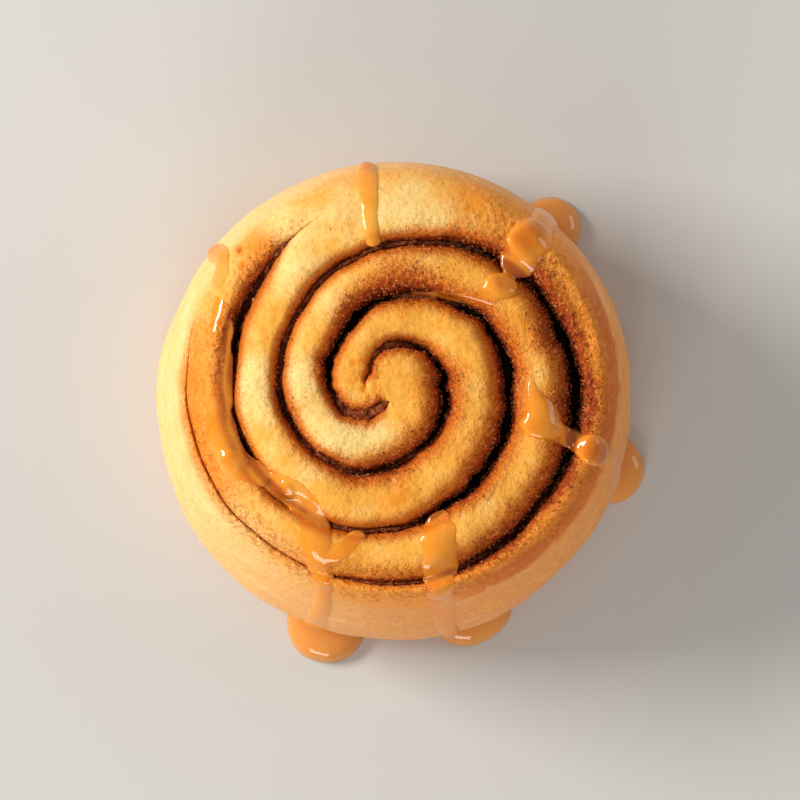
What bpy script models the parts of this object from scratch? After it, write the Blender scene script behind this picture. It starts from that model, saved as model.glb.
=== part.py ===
"""A cinnamon roll as one baked piece: a double spiral of dough, two ribbons of cinnamon filling and a caramel drizzle.

The dough is a low leaning dome. Two spiral grooves, which start on either side of a small S-shaped bridge
at the eye, cut it into one long strand. A ribbon of filling stands in each groove, from the base to a
little below the crowns. Caramel runs over the top and down the side, and sets in pools at the foot.
The origin is the centre of the round outline, on the flat base, with +Z up.
"""

import math

import bmesh
import bpy
from mathutils import Vector, noise

MM = 0.001

# Dough body
OUTLINE_RADIUS = 55.0 * MM
CROWN_HEIGHT = 48.0 * MM
RIM_RADIUS = 49.0 * MM
RIM_HEIGHT = 39.0 * MM
BASE_RADIUS = 51.5 * MM
WIDEST_HEIGHT = 15.0 * MM
CROWN_DOME = 3.5 * MM
LEAN = Vector((1.4 * MM, 4.2 * MM))
UNEVEN_TOP = 0.9 * MM
UNEVEN_SIDE = 0.5 * MM
UNEVEN_LENGTH = 17.0 * MM
BODY_STEPS = 76
BELOW_BASE = 2.0 * MM

# Spiral grooves, measured from the eye of the swirl
EYE = Vector((-3.1 * MM, 6.0 * MM))
OUTER_CENTRE = Vector((3.7 * MM, 4.2 * MM))
CENTRE_BLEND_RADIUS = 50.0 * MM
OVAL_DIRECTION = math.radians(40.0)
DEGREES_A_SECTION = 9.0
GROOVE_A = {
    "start_degrees": 165.0,
    "first_radius": 1.3 * MM,
    "pitch": 26.8 * MM,
    "pitch_growth": -0.7 * MM,
    "oval": 0.8 * MM,
    "turns": 2.06,
    "slot_turns": 1.97,
    "run_out": (1.93, 0.12),
    "mouth": (1.5 * MM, 4.6 * MM, 2.0 * MM),
    "openings": ((0.46, 0.22, 0.6 * MM), (1.45, 0.20, 0.9 * MM)),
}
GROOVE_B = {
    "start_degrees": 276.0,
    "first_radius": 5.4 * MM,
    "pitch": 26.2 * MM,
    "pitch_growth": 0.9 * MM,
    "oval": 1.3 * MM,
    "turns": 1.45,
    "slot_turns": 1.40,
    "run_out": (1.36, 0.15),
    "mouth": (1.8 * MM, 4.8 * MM, 3.2 * MM),
    "openings": ((0.42, 0.12, 0.5 * MM), (0.80, 0.22, 0.9 * MM), (1.33, 0.10, 1.3 * MM)),
}
SLOT_HALF = 1.0 * MM
THROAT_DEPTH = 5.5 * MM
POCKET_DEPTH = 12.0 * MM
MOUTH_ARC_POINTS = 4
MOUTH_ARC_DEGREES = 80.0
MOUTH_LIP = 0.4 * MM
LIP_RISE = 1.0 * MM
CUTTER_RISE = 9.0 * MM
SLOT_END_TURNS = 0.002

# Filling ribbons
RIBBON_THICKNESS = 1.4 * MM
RIBBON_RECESS = 6.3 * MM
RIBBON_RIDGE = 0.5 * MM
RIBBON_BULGE = 0.08 * MM
RIBBON_UNEVEN = 1.0 * MM
RIBBON_UNEVEN_LENGTH = 5.0 * MM
RIBBON_END_GAP = 0.45 * MM
RIBBON_FOOT = 0.3 * MM

# Caramel: each stream is a route over the crowns and, where it falls, the height where it stops on the side
STREAM_SINK = 0.4
END_BURY = 0.5
END_TAPER = 0.6
STREAMS = {
    "top": {
        "route": ((-4.8, 37.0), (-5.3, 42.5), (-5.6, 48.5)),
        "radius": 2.4,
        "side_end": 34.0,
    },
    "upper_right": {
        "route": ((24.8, 26.4), (27.8, 31.8), (32.0, 37.2)),
        "radius": 3.0,
        "side_end": 3.0,
    },
    "right": {
        "route": ((32.0, 10.0), (34.0, 3.0), (36.5, -3.5), (41.0, -7.8), (46.0, -11.0)),
        "radius": 2.8,
        "side_end": 3.0,
    },
    "lower_right": {
        "route": ((8.0, -24.0), (9.5, -31.5), (11.7, -39.5)),
        "radius": 2.8,
        "side_end": 3.0,
    },
    "lower": {
        "route": ((-26.5, -18.5), (-20.5, -22.5), (-15.8, -28.5), (-16.0, -34.0), (-17.0, -39.5)),
        "radius": 2.8,
        "side_end": 3.0,
    },
    "lower_branch": {
        "route": ((-8.5, -31.0), (-12.0, -34.0), (-16.5, -37.5)),
        "radius": 2.2,
        "side_end": None,
    },
    "left": {
        "route": ((-38.5, 36.5), (-37.5, 25.0), (-38.5, 10.0), (-38.0, -6.0), (-34.5, -15.0), (-26.5, -18.5)),
        "radius": 2.2,
        "side_end": None,
    },
}
POOL_HEIGHT = 4.5 * MM
POOLS = (
    {"degrees": 252.0, "distance": 53.6, "across": 9.2, "along": 8.6},
    {"degrees": 291.0, "distance": 52.0, "across": 9.0, "along": 7.2},
    {"degrees": 343.0, "distance": 53.2, "across": 7.6, "along": 6.9},
    {"degrees": 48.0, "distance": 54.2, "across": 7.4, "along": 7.5},
)

LOOKS = {
    "dough": ((0.84, 0.47, 0.13), 0.55),
    "cinnamon": ((0.10, 0.028, 0.010), 0.45),
}


def smooth_step(low, high, value):
    t = min(max((value - low) / (high - low), 0.0), 1.0)
    return t * t * (3.0 - 2.0 * t)


def lean_at(height):
    """How far the body has moved sideways at this height."""
    return LEAN * smooth_step(8.0 * MM, RIM_HEIGHT, height)


def side_radius(height):
    """The bulging side, from the heel to the rim."""
    if height > WIDEST_HEIGHT:
        rise = (height - WIDEST_HEIGHT) / (RIM_HEIGHT - WIDEST_HEIGHT)
        return OUTLINE_RADIUS - (OUTLINE_RADIUS - RIM_RADIUS) * rise**2
    drop = (WIDEST_HEIGHT - height) / WIDEST_HEIGHT
    return OUTLINE_RADIUS - (OUTLINE_RADIUS - BASE_RADIUS) * drop**4


def crown_height(distance):
    """The top face: a shallow dome with a rounded shoulder, and past the rim the side's own fall."""
    if distance > RIM_RADIUS:
        inset = max(OUTLINE_RADIUS - distance, 0.0) / (OUTLINE_RADIUS - RIM_RADIUS)
        return WIDEST_HEIGHT + (RIM_HEIGHT - WIDEST_HEIGHT) * math.sqrt(inset)
    ratio = distance / RIM_RADIUS
    shoulder = CROWN_HEIGHT - CROWN_DOME - RIM_HEIGHT
    return CROWN_HEIGHT - CROWN_DOME * ratio**2 - shoulder * ratio**8


def unevenness(x, y):
    return noise.noise(Vector((x, y, 0.013)) / UNEVEN_LENGTH)


def top_at(x, y):
    """Height of the dough's top above a point of the base plane."""
    distance = (Vector((x, y)) - LEAN).length
    fade = 1.0 - smooth_step(0.8 * RIM_RADIUS, RIM_RADIUS, distance)
    return crown_height(distance) + UNEVEN_TOP * unevenness(x, y) * fade


def groove_point(groove, turned):
    """A point on the groove's middle line, this many turns clockwise from its start."""
    angle = math.radians(groove["start_degrees"] - 360.0 * turned)
    radius = groove["first_radius"] + groove["pitch"] * turned + groove["pitch_growth"] * turned**2
    radius += groove["oval"] * math.cos(2.0 * (angle - OVAL_DIRECTION))
    centre = EYE.lerp(OUTER_CENTRE, smooth_step(0.0, CENTRE_BLEND_RADIUS, radius))
    return centre + radius * Vector((math.cos(angle), math.sin(angle)))


def groove_normal(groove, turned):
    """The unit vector across the groove, pointing away from the eye."""
    step = 0.002
    along = groove_point(groove, turned + step) - groove_point(groove, turned - step)
    return Vector((-along.y, along.x)).normalized()


def turns_for(groove, turned, length):
    """How many turns a length along the groove makes here."""
    step = 0.001
    run = (groove_point(groove, turned + step) - groove_point(groove, turned)).length
    return step * length / run


def steps_between(first, last):
    count = math.ceil((last - first) * 360.0 / DEGREES_A_SECTION)
    return [first + (last - first) * i / count for i in range(count + 1)]


def run_out(groove, turned):
    """The groove's size where it closes at its outer end, as a share of its full size."""
    begin, least = groove["run_out"]
    return 1.0 - (1.0 - least) * smooth_step(begin, groove["turns"], turned)


def mouth_half(groove, turned):
    """Half the width of the groove's mouth, where the crowns round over."""
    start, middle, end = groove["mouth"]
    share = turned / groove["turns"]
    half = start + (middle - start) * smooth_step(0.0, 0.22, share)
    half += (end - middle) * smooth_step(0.62, 1.0, share)
    return half + opening(groove, turned)


def opening(groove, turned):
    """Extra half-width of the gap where the strands have parted in the oven."""
    extra = 0.0
    for centre, reach, width in groove["openings"]:
        extra += width * (1.0 - smooth_step(0.0, reach, abs(turned - centre)))
    return extra


def material(name):
    color, roughness = LOOKS[name]
    made = bpy.data.materials.new(name)
    made.use_nodes = True
    shader = made.node_tree.nodes["Principled BSDF"]
    shader.inputs["Base Color"].default_value = (*color, 1.0)
    shader.inputs["Roughness"].default_value = roughness
    shader.inputs["Metallic"].default_value = 0.0
    return made


def add_object(name, mesh, collection):
    made = bpy.data.objects.new(name, mesh)
    collection.objects.link(made)
    return made


def mesh_from(name, points, faces):
    mesh = bpy.data.meshes.new(name)
    mesh.from_pydata(points, [], faces)
    mesh.update()
    return mesh


def keep_evaluated(made):
    """Put what the modifiers make into the object's own mesh."""
    graph = bpy.context.evaluated_depsgraph_get()
    mesh = bpy.data.meshes.new_from_object(made.evaluated_get(graph))
    made.modifiers.clear()
    made.data = mesh
    return made


def face_outwards(mesh):
    shape = bmesh.new()
    shape.from_mesh(mesh)
    bmesh.ops.recalc_face_normals(shape, faces=shape.faces)
    shape.to_mesh(mesh)
    shape.free()


def loft(name, sections, collection):
    """A closed body through sections with equal numbers of points."""
    size = len(sections[0])
    points = [point for section in sections for point in section]
    faces = []
    for row in range(len(sections) - 1):
        for i in range(size):
            j = (i + 1) % size
            faces.append((row * size + i, row * size + j, (row + 1) * size + j, (row + 1) * size + i))
    faces.append(tuple(range(size)))
    faces.append(tuple(range((len(sections) - 1) * size, len(sections) * size)))
    mesh = mesh_from(name, points, faces)
    face_outwards(mesh)
    return add_object(name, mesh, collection)


def dough_blank(collection):
    """The uncut dough: a turned profile, leant and made uneven."""
    top = [(RIM_RADIUS * i / 11.0) for i in range(12)]
    profile = [(distance, 0.0, crown_height(distance)) for distance in top]
    side = [RIM_HEIGHT * (1.0 - i / 10.0) for i in range(1, 11)]
    profile += [(side_radius(height), 0.0, height) for height in side]
    profile += [(BASE_RADIUS, 0.0, -BELOW_BASE), (0.0, 0.0, -BELOW_BASE)]
    mesh = bpy.data.meshes.new("dough")
    mesh.from_pydata(profile, [(i, i + 1) for i in range(len(profile) - 1)], [])
    blank = add_object("dough", mesh, collection)
    screw = blank.modifiers.new("turn", "SCREW")
    screw.steps = BODY_STEPS
    screw.render_steps = BODY_STEPS
    screw.use_merge_vertices = True
    screw.merge_threshold = 0.00005
    keep_evaluated(blank)
    for vertex in blank.data.vertices:
        height = vertex.co.z
        distance = vertex.co.xy.length
        if height > 0.0 and distance > RIM_RADIUS:
            bulge = noise.noise(vertex.co / UNEVEN_LENGTH) * UNEVEN_SIDE
            vertex.co.xy *= 1.0 + bulge / distance
        moved = vertex.co.xy + lean_at(height)
        if height > RIM_HEIGHT - 0.01 * MM:
            height = top_at(moved.x, moved.y)
        vertex.co = (moved.x, moved.y, height)
    return blank


def mouth_arc(throat, mouth, side):
    """Offsets and depths of one flank, from the throat up over the crown."""
    points = []
    for i in range(MOUTH_ARC_POINTS):
        turn = math.radians(MOUTH_ARC_DEGREES * i / (MOUTH_ARC_POINTS - 1))
        offset = throat + (mouth - throat) * (1.0 - math.cos(turn))
        points.append((side * offset, THROAT_DEPTH * (1.0 - math.sin(turn))))
    return points


def groove_cutter(name, groove, collection):
    """A slot through the whole roll with a rounded, flaring mouth that follows the top."""
    sections = []
    slot_end = groove["slot_turns"]
    slotted = steps_between(0.0, slot_end)
    closing = steps_between(slot_end + SLOT_END_TURNS, groove["turns"])
    for turned in slotted + closing:
        middle = groove_point(groove, turned)
        across = groove_normal(groove, turned)
        through = turned <= slot_end
        share = run_out(groove, turned)
        throat = (SLOT_HALF + 0.7 * opening(groove, turned)) * max(share, 0.3)
        mouth = throat + mouth_half(groove, turned) * share
        outline = []
        for side in (-1.0, 1.0):
            half = SLOT_HALF if through else min(SLOT_HALF, throat)
            flank = [(side * half, None), (side * half, POCKET_DEPTH)]
            flank += mouth_arc(throat, mouth, side)
            flank += [(side * (mouth + MOUTH_LIP), -LIP_RISE), (side * (mouth + MOUTH_LIP), -CUTTER_RISE)]
            outline += flank if side < 0.0 else flank[::-1]
        section = []
        for offset, depth in outline:
            spot = middle + across * offset
            height = top_at(spot.x, spot.y)
            if depth is None:
                height = -2.0 * BELOW_BASE if through else height - 1.1 * POCKET_DEPTH * share
            else:
                height -= depth * share
            section.append((spot.x, spot.y, height))
        sections.append(section)
    return loft(name, sections, collection)


def filling_ribbon(name, groove, collection):
    """A strip that stands in the groove's slot, clear of both flanks, with its ridged top below the crowns."""
    steps = steps_between(0.0, groove["slot_turns"])
    steps[0] += turns_for(groove, steps[0], RIBBON_END_GAP)
    steps[-1] -= turns_for(groove, steps[-1], RIBBON_END_GAP)
    sections = []
    for turned in steps:
        spot = groove_point(groove, turned)
        across = groove_normal(groove, turned) * RIBBON_THICKNESS / 2.0
        crest = top_at(spot.x, spot.y) - RIBBON_RECESS
        crest += RIBBON_UNEVEN * noise.noise(Vector((spot.x, spot.y, 0.031)) / RIBBON_UNEVEN_LENGTH)
        bulge = across * (1.0 + 2.0 * RIBBON_BULGE / RIBBON_THICKNESS)
        outline = [
            (across, RIBBON_FOOT),
            (bulge, crest / 2.0),
            (across, crest - RIBBON_RIDGE),
            (across * 0.0, crest),
            (-across, crest - RIBBON_RIDGE),
            (-bulge, crest / 2.0),
            (-across, RIBBON_FOOT),
        ]
        sections.append([(*(spot + offset), height) for offset, height in outline])
    return loft(name, sections, collection)


def stream_points(stream):
    """Points along a stream: over the crowns, then straight down the side."""
    radius = stream["radius"] * MM
    over = []
    for x, y in stream["route"]:
        over.append(Vector((x * MM, y * MM, top_at(x * MM, y * MM) - radius * STREAM_SINK)))
    over[0].z -= radius * END_BURY
    if stream["side_end"] is None:
        over[-1].z -= radius * END_BURY
        return over
    angle = math.atan2(over[-1].y - LEAN.y, over[-1].x - LEAN.x)
    way = Vector((math.cos(angle), math.sin(angle)))
    heights = [RIM_HEIGHT - 4.0 * MM - 7.0 * MM * i for i in range(5)]
    heights = [h for h in heights if h > stream["side_end"] * MM] + [stream["side_end"] * MM]
    for height in heights:
        spot = way * (side_radius(height) - radius * STREAM_SINK) + lean_at(height)
        over.append(Vector((spot.x, spot.y, height)))
    return over


def caramel_stream(name, stream, collection):
    curve = bpy.data.curves.new(name, "CURVE")
    curve.dimensions = "3D"
    curve.bevel_depth = stream["radius"] * MM
    curve.bevel_resolution = 2
    curve.resolution_u = 3
    curve.use_fill_caps = True
    spline = curve.splines.new("BEZIER")
    places = stream_points(stream)
    spline.bezier_points.add(len(places) - 1)
    for point, place in zip(spline.bezier_points, places):
        point.co = place
        point.handle_left_type = "AUTO"
        point.handle_right_type = "AUTO"
    spline.bezier_points[0].radius = END_TAPER
    if stream["side_end"] is None:
        spline.bezier_points[-1].radius = END_TAPER
    drawn = add_object(name + "_curve", curve, collection)
    graph = bpy.context.evaluated_depsgraph_get()
    mesh = bpy.data.meshes.new_from_object(drawn.evaluated_get(graph))
    shape = bmesh.new()
    shape.from_mesh(mesh)
    bmesh.ops.remove_doubles(shape, verts=shape.verts, dist=0.00001)
    bmesh.ops.recalc_face_normals(shape, faces=shape.faces)
    shape.to_mesh(mesh)
    shape.free()
    made = add_object(name, mesh, collection)
    made.matrix_world = drawn.matrix_world.copy()
    bpy.data.objects.remove(drawn)
    return made


def caramel_pool(name, pool, collection):
    """A set puddle against the foot: half of a flattened ball."""
    shape = bmesh.new()
    bmesh.ops.create_uvsphere(shape, u_segments=20, v_segments=10, radius=1.0)
    angle = math.radians(pool["degrees"])
    size = Vector((pool["along"] * MM, pool["across"] * MM, POOL_HEIGHT))
    turn = Vector((math.cos(angle), math.sin(angle)))
    for vertex in shape.verts:
        along = vertex.co.x * size.x + pool["distance"] * MM
        across = vertex.co.y * size.y
        vertex.co = (turn.x * along - turn.y * across, turn.y * along + turn.x * across, vertex.co.z * size.z)
    mesh = bpy.data.meshes.new(name)
    shape.to_mesh(mesh)
    shape.free()
    return add_object(name, mesh, collection)


def floor_cutter(collection):
    """A slab under the base plane, which cuts dough and pools off flat."""
    bpy.ops.mesh.primitive_cube_add(size=1.0)
    slab = bpy.context.object
    slab.name = "floor_cutter"
    for holder in list(slab.users_collection):
        holder.objects.unlink(slab)
    collection.objects.link(slab)
    thickness = 20.0 * MM
    for vertex in slab.data.vertices:
        vertex.co = (vertex.co.x * 0.2, vertex.co.y * 0.2, vertex.co.z * thickness - thickness / 2.0)
    return slab


def boolean(made, operation, cutter=None, collection=None):
    modifier = made.modifiers.new(operation.lower(), "BOOLEAN")
    modifier.operation = operation
    modifier.solver = "EXACT"
    if collection is None:
        modifier.object = cutter
    else:
        modifier.operand_type = "COLLECTION"
        modifier.collection = collection
    keep_evaluated(made)


def clear_objects(collection):
    for made in list(collection.objects):
        bpy.data.objects.remove(made)


def main():
    for old in list(bpy.data.objects):
        bpy.data.objects.remove(old)
    scene = bpy.context.scene
    parts = bpy.data.collections.new("cinnamon_roll")
    cutters = bpy.data.collections.new("cutters")
    caramel = bpy.data.collections.new("caramel")
    for collection in (parts, cutters, caramel):
        scene.collection.children.link(collection)

    dough = dough_blank(parts)
    for name, groove in (("groove_a", GROOVE_A), ("groove_b", GROOVE_B)):
        cutter = groove_cutter(name, groove, cutters)
        boolean(dough, "DIFFERENCE", cutter=cutter)
    for name, stream in STREAMS.items():
        caramel_stream("stream_" + name, stream, caramel)
    for i, pool in enumerate(POOLS):
        caramel_pool(f"pool_{i}", pool, caramel)
    boolean(dough, "UNION", collection=caramel)
    boolean(dough, "DIFFERENCE", cutter=floor_cutter(cutters))
    clear_objects(caramel)
    clear_objects(cutters)

    fillings = [
        filling_ribbon("cinnamon_filling_a", GROOVE_A, parts),
        filling_ribbon("cinnamon_filling_b", GROOVE_B, parts),
    ]
    cinnamon = material("cinnamon")
    for ribbon in fillings:
        ribbon.data.materials.clear()
        ribbon.data.materials.append(cinnamon)
    dough.data.materials.clear()
    dough.data.materials.append(material("dough"))
    for made in (dough, *fillings):
        made.data.shade_smooth()
        made.data.set_sharp_from_angle(angle=math.radians(40.0))


main()
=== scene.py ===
import math
from contextlib import contextmanager
from types import SimpleNamespace

import bmesh
import bpy
import numpy as np
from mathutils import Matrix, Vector, noise
from mathutils.bvhtree import BVHTree


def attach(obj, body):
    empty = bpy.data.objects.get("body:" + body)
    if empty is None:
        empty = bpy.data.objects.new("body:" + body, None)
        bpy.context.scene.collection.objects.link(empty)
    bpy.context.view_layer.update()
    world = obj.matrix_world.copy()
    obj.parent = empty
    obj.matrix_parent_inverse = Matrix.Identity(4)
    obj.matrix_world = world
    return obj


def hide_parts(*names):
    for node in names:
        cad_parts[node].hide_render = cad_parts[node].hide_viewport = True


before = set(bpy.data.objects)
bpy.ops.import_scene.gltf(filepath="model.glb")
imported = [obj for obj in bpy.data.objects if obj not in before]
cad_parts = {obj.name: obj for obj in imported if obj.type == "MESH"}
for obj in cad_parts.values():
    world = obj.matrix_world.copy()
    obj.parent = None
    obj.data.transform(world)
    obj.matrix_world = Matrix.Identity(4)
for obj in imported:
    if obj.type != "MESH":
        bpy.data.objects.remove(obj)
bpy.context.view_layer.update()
mm = 0.001

# The roll's own shape: that of the solid it stands for, with a squarer shoulder and a lip
roll = {
    "outlineRadius": 55.0 * mm,
    "crownHeight": 48.0 * mm,
    "rimRadius": 49.0 * mm,
    "rimHeight": 39.0 * mm,
    "baseRadius": 51.5 * mm,
    "widestHeight": 15.0 * mm,
    "crownDome": 3.5 * mm,
    "shoulderPower": 14,
    "lipRadius": 47.2 * mm,
    "lipWidth": 2.2 * mm,
    "lipHeight": 1.8 * mm,
    "lipFacing": (-0.5, 0.6),
    "lean": np.array((1.4 * mm, 4.2 * mm)),
    "leanFrom": 8.0 * mm,
    "unevenTop": 0.9 * mm,
    "unevenSide": 0.5 * mm,
    "unevenLength": 17.0 * mm,
}

# Two grooves wind clockwise out of the eye. Radii are from the swirl's centre, which drifts outwards.
swirl = {
    "eye": np.array((-3.1 * mm, 6.0 * mm)),
    "outerCentre": np.array((3.7 * mm, 4.2 * mm)),
    "blendRadius": 50.0 * mm,
    "ovalDirection": math.radians(40.0),
    # waves that a groove's radius makes: how many go round, their height, and the pitch's shift of them
    "wander": 0.22 * mm,
    "waves": ((5.3, 1.0, 900.0), (11.9, 0.7, 0.0), (23.3, 0.4, 0.0)),
    "wavesWholeAt": 12.0 * mm,
    "easeIn": 0.03,
}
grooveA = {
    "startDegrees": 165.0,
    "firstRadius": 1.3 * mm,
    "pitch": 26.8 * mm,
    "pitchGrowth": -0.7 * mm,
    "oval": 0.8 * mm,
    "turns": 2.06,
    "from": -0.17,
    "begunBy": 0.05,
    "tipPower": 0.6,
    "spiralFrom": 0.06,
    "fadeFrom": 1.93,
    # along the groove: turned, then in mm half the open gap, how deep the crowns round down to it, the
    # filling's depth, the width of the rounding and the reach of the brown stain, inner side then outer
    "course": (
        (-0.15, 0.02, 1.2, 2.4, 1.2, 1.2, 1.3, 0.8),
        (0.00, 0.02, 1.7, 2.4, 1.3, 1.3, 1.6, 1.0),
        (0.08, 0.03, 1.8, 2.2, 1.8, 1.5, 1.8, 1.1),
        (0.15, 0.16, 2.8, 2.2, 2.2, 1.8, 2.0, 1.3),
        (0.25, 0.38, 4.2, 2.4, 2.8, 2.4, 1.8, 1.6),
        (0.33, 0.42, 5.2, 4.8, 3.4, 2.8, 1.8, 1.5),
        (0.46, 0.70, 5.5, 9.0, 3.8, 3.0, 2.8, 2.2),
        (0.58, 0.62, 5.5, 9.0, 3.8, 3.0, 2.2, 1.6),
        (0.62, 0.50, 5.0, 6.5, 3.8, 2.8, 2.3, 1.6),
        (0.66, 0.26, 4.2, 3.6, 3.8, 2.8, 2.4, 1.7),
        (0.70, 0.38, 4.4, 4.4, 3.8, 2.8, 2.6, 1.9),
        (0.74, 0.46, 4.8, 5.4, 3.8, 2.8, 2.6, 1.9),
        (0.78, 0.34, 4.2, 4.0, 3.8, 2.8, 2.6, 2.2),
        (0.83, 0.24, 3.8, 3.0, 3.4, 2.4, 1.8, 1.6),
        (0.90, 0.44, 4.7, 4.8, 3.2, 2.8, 1.7, 1.8),
        (0.98, 0.34, 4.4, 4.0, 3.0, 3.2, 1.3, 1.9),
        (1.08, 0.28, 3.9, 3.2, 3.0, 3.6, 1.2, 2.0),
        (1.20, 0.30, 3.8, 3.1, 3.2, 3.4, 1.3, 1.8),
        (1.28, 0.38, 4.8, 4.6, 3.6, 3.6, 1.6, 3.0),
        (1.34, 0.55, 5.5, 7.0, 4.0, 4.0, 2.4, 5.0),
        (1.42, 0.90, 5.5, 9.0, 4.4, 4.4, 4.4, 6.0),
        (1.50, 1.00, 5.5, 9.0, 4.4, 4.2, 4.6, 5.4),
        (1.56, 0.40, 5.0, 5.4, 4.2, 3.4, 3.6, 3.6),
        (1.62, 0.42, 4.5, 4.8, 4.0, 3.0, 3.6, 2.6),
        (1.67, 0.22, 3.5, 3.0, 3.8, 2.4, 3.2, 1.4),
        (1.72, 0.08, 2.4, 2.4, 2.8, 1.6, 2.8, 0.6),
        (1.80, 0.02, 1.2, 3.0, 2.0, 1.6, 1.6, 0.6),
        (1.88, 0.02, 1.2, 3.0, 1.8, 1.8, 1.8, 0.8),
        (1.95, 0.02, 1.1, 3.0, 1.8, 1.8, 2.2, 1.1),
        (2.06, 0.02, 0.5, 3.0, 1.2, 1.2, 0.60, 0.45),
    ),
}
grooveB = {
    "startDegrees": 276.0,
    "firstRadius": 5.4 * mm,
    "pitch": 26.2 * mm,
    "pitchGrowth": 0.9 * mm,
    "oval": 1.3 * mm,
    "turns": 1.45,
    "from": -0.045,
    "begunBy": 0.04,
    "tipPower": 0.35,
    "spiralFrom": 0.045,
    "fadeFrom": 1.36,
    "course": (
        (-0.045, 0.50, 1.3, 0.5, 1.3, 1.3, 0.8, 0.8),
        (0.00, 0.75, 1.8, 0.6, 1.5, 1.5, 0.9, 0.9),
        (0.05, 0.85, 2.5, 1.2, 1.8, 1.8, 1.2, 1.2),
        (0.12, 0.80, 3.4, 2.3, 2.0, 2.2, 1.8, 1.4),
        (0.19, 0.70, 4.4, 3.4, 2.4, 2.6, 1.6, 1.5),
        (0.26, 0.56, 5.5, 5.5, 2.8, 3.2, 1.5, 1.6),
        (0.34, 0.95, 5.5, 8.5, 2.8, 4.0, 1.2, 3.0),
        (0.42, 1.05, 5.5, 9.0, 2.8, 4.4, 1.2, 4.6),
        (0.48, 0.80, 5.5, 8.0, 2.8, 4.8, 1.2, 6.2),
        (0.54, 0.40, 4.4, 3.8, 2.8, 4.8, 1.2, 6.4),
        (0.60, 0.38, 4.2, 3.6, 3.2, 3.6, 1.4, 3.0),
        (0.68, 0.74, 5.5, 8.0, 3.6, 3.4, 1.4, 2.4),
        (0.78, 0.84, 5.5, 9.0, 4.0, 3.2, 2.6, 2.0),
        (0.84, 0.84, 5.5, 9.0, 4.2, 3.0, 3.4, 1.6),
        (0.90, 0.60, 5.5, 8.5, 4.0, 3.0, 2.4, 1.6),
        (0.97, 0.44, 4.9, 6.4, 3.4, 2.8, 1.4, 1.0),
        (1.02, 0.24, 3.8, 3.2, 3.2, 2.8, 1.1, 0.9),
        (1.08, 0.10, 2.6, 2.4, 3.0, 3.0, 1.0, 1.0),
        (1.15, 0.50, 4.6, 5.0, 3.4, 3.6, 1.2, 1.8),
        (1.20, 0.60, 5.0, 7.0, 3.2, 3.8, 1.1, 2.0),
        (1.25, 0.10, 3.0, 2.6, 3.0, 4.2, 1.0, 2.2),
        (1.30, 0.75, 5.5, 6.0, 3.0, 4.8, 1.0, 4.2),
        (1.34, 0.75, 5.0, 5.0, 2.6, 5.2, 0.9, 3.8),
        (1.39, 0.30, 3.2, 3.0, 2.2, 4.4, 0.9, 3.2),
        (1.45, 0.02, 0.9, 3.0, 1.8, 2.6, 0.5, 1.4),
    ),
}


def smoothStep(low, high, value):
    part = np.clip((value - low) / (high - low), 0.0, 1.0)
    return part * part * (3.0 - 2.0 * part)


def along(groove, what, turned):
    # one column of a groove's course in metres, read at a place between its entries
    names = ("turned", "gap", "throat", "paste", "mouthIn", "mouthOut", "stainIn", "stainOut")
    columns = np.array(groove["course"]).T
    return mm * np.interp(turned, columns[0], columns[names.index(what)])


def grain(points, size, seed):
    # smooth random bumps of about this size, between -1 and 1
    cells = np.asarray(points, float) / size + 101.5 + seed * 7.31
    base = np.floor(cells).astype(np.int64)
    part = cells - base
    part = part * part * (3.0 - 2.0 * part)
    total = np.zeros(len(cells))
    for corner in range(8):
        step = np.array([corner & 1, corner >> 1 & 1, corner >> 2 & 1])
        key = ((base + step) * np.array([73856093, 19349663, 83492791])).sum(axis=1) + seed * 1013904223
        key = key & 0xFFFFFFFF
        key = ((key ^ (key >> 15)) * 2246822519) & 0xFFFFFFFF
        key = ((key ^ (key >> 13)) * 3266489917) & 0xFFFFFFFF
        value = ((key ^ (key >> 16)) & 0xFFFF) / 32767.5 - 1.0
        total += value * np.prod(np.where(step == 1, part, 1.0 - part), axis=1)
    return total


def leanAt(height):
    return smoothStep(roll["leanFrom"], roll["rimHeight"], height)[..., None] * roll["lean"]


def sideRadius(height):
    rise = (height - roll["widestHeight"]) / (roll["rimHeight"] - roll["widestHeight"])
    drop = (roll["widestHeight"] - height) / roll["widestHeight"]
    upper = roll["outlineRadius"] - (roll["outlineRadius"] - roll["rimRadius"]) * rise**2
    lower = roll["outlineRadius"] - (roll["outlineRadius"] - roll["baseRadius"]) * drop**4
    return np.where(height > roll["widestHeight"], upper, lower)


def crownHeightAt(distance):
    inset = np.clip(roll["outlineRadius"] - distance, 0.0, None) / (roll["outlineRadius"] - roll["rimRadius"])
    fall = roll["widestHeight"] + (roll["rimHeight"] - roll["widestHeight"]) * np.sqrt(inset)
    ratio = np.clip(distance / roll["rimRadius"], 0.0, 1.0)
    shoulder = roll["crownHeight"] - roll["crownDome"] - roll["rimHeight"]
    face = roll["crownHeight"] - roll["crownDome"] * ratio**2 - shoulder * ratio ** roll["shoulderPower"]
    return np.where(distance > roll["rimRadius"], fall, face)


def topAt(places):
    # height of the roll's top, without its grooves, over points of the base plane
    distance = np.linalg.norm(places - roll["lean"], axis=1)
    fade = 1.0 - smoothStep(0.8 * roll["rimRadius"], roll["rimRadius"], distance)
    size = roll["unevenLength"]
    bumps = np.array([noise.noise(Vector((x, y, 0.013)) / size) for x, y in places])
    # the last turn stands up as a lip at the right and the front
    facing = (places[:, 0] - 0.5 * places[:, 1]) / np.maximum(distance, 1e-6)
    lip = np.exp(-(((distance - roll["lipRadius"]) / roll["lipWidth"]) ** 2))
    lip = lip * smoothStep(*roll["lipFacing"], facing)
    return crownHeightAt(distance) + roll["unevenTop"] * bumps * fade + roll["lipHeight"] * lip


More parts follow.
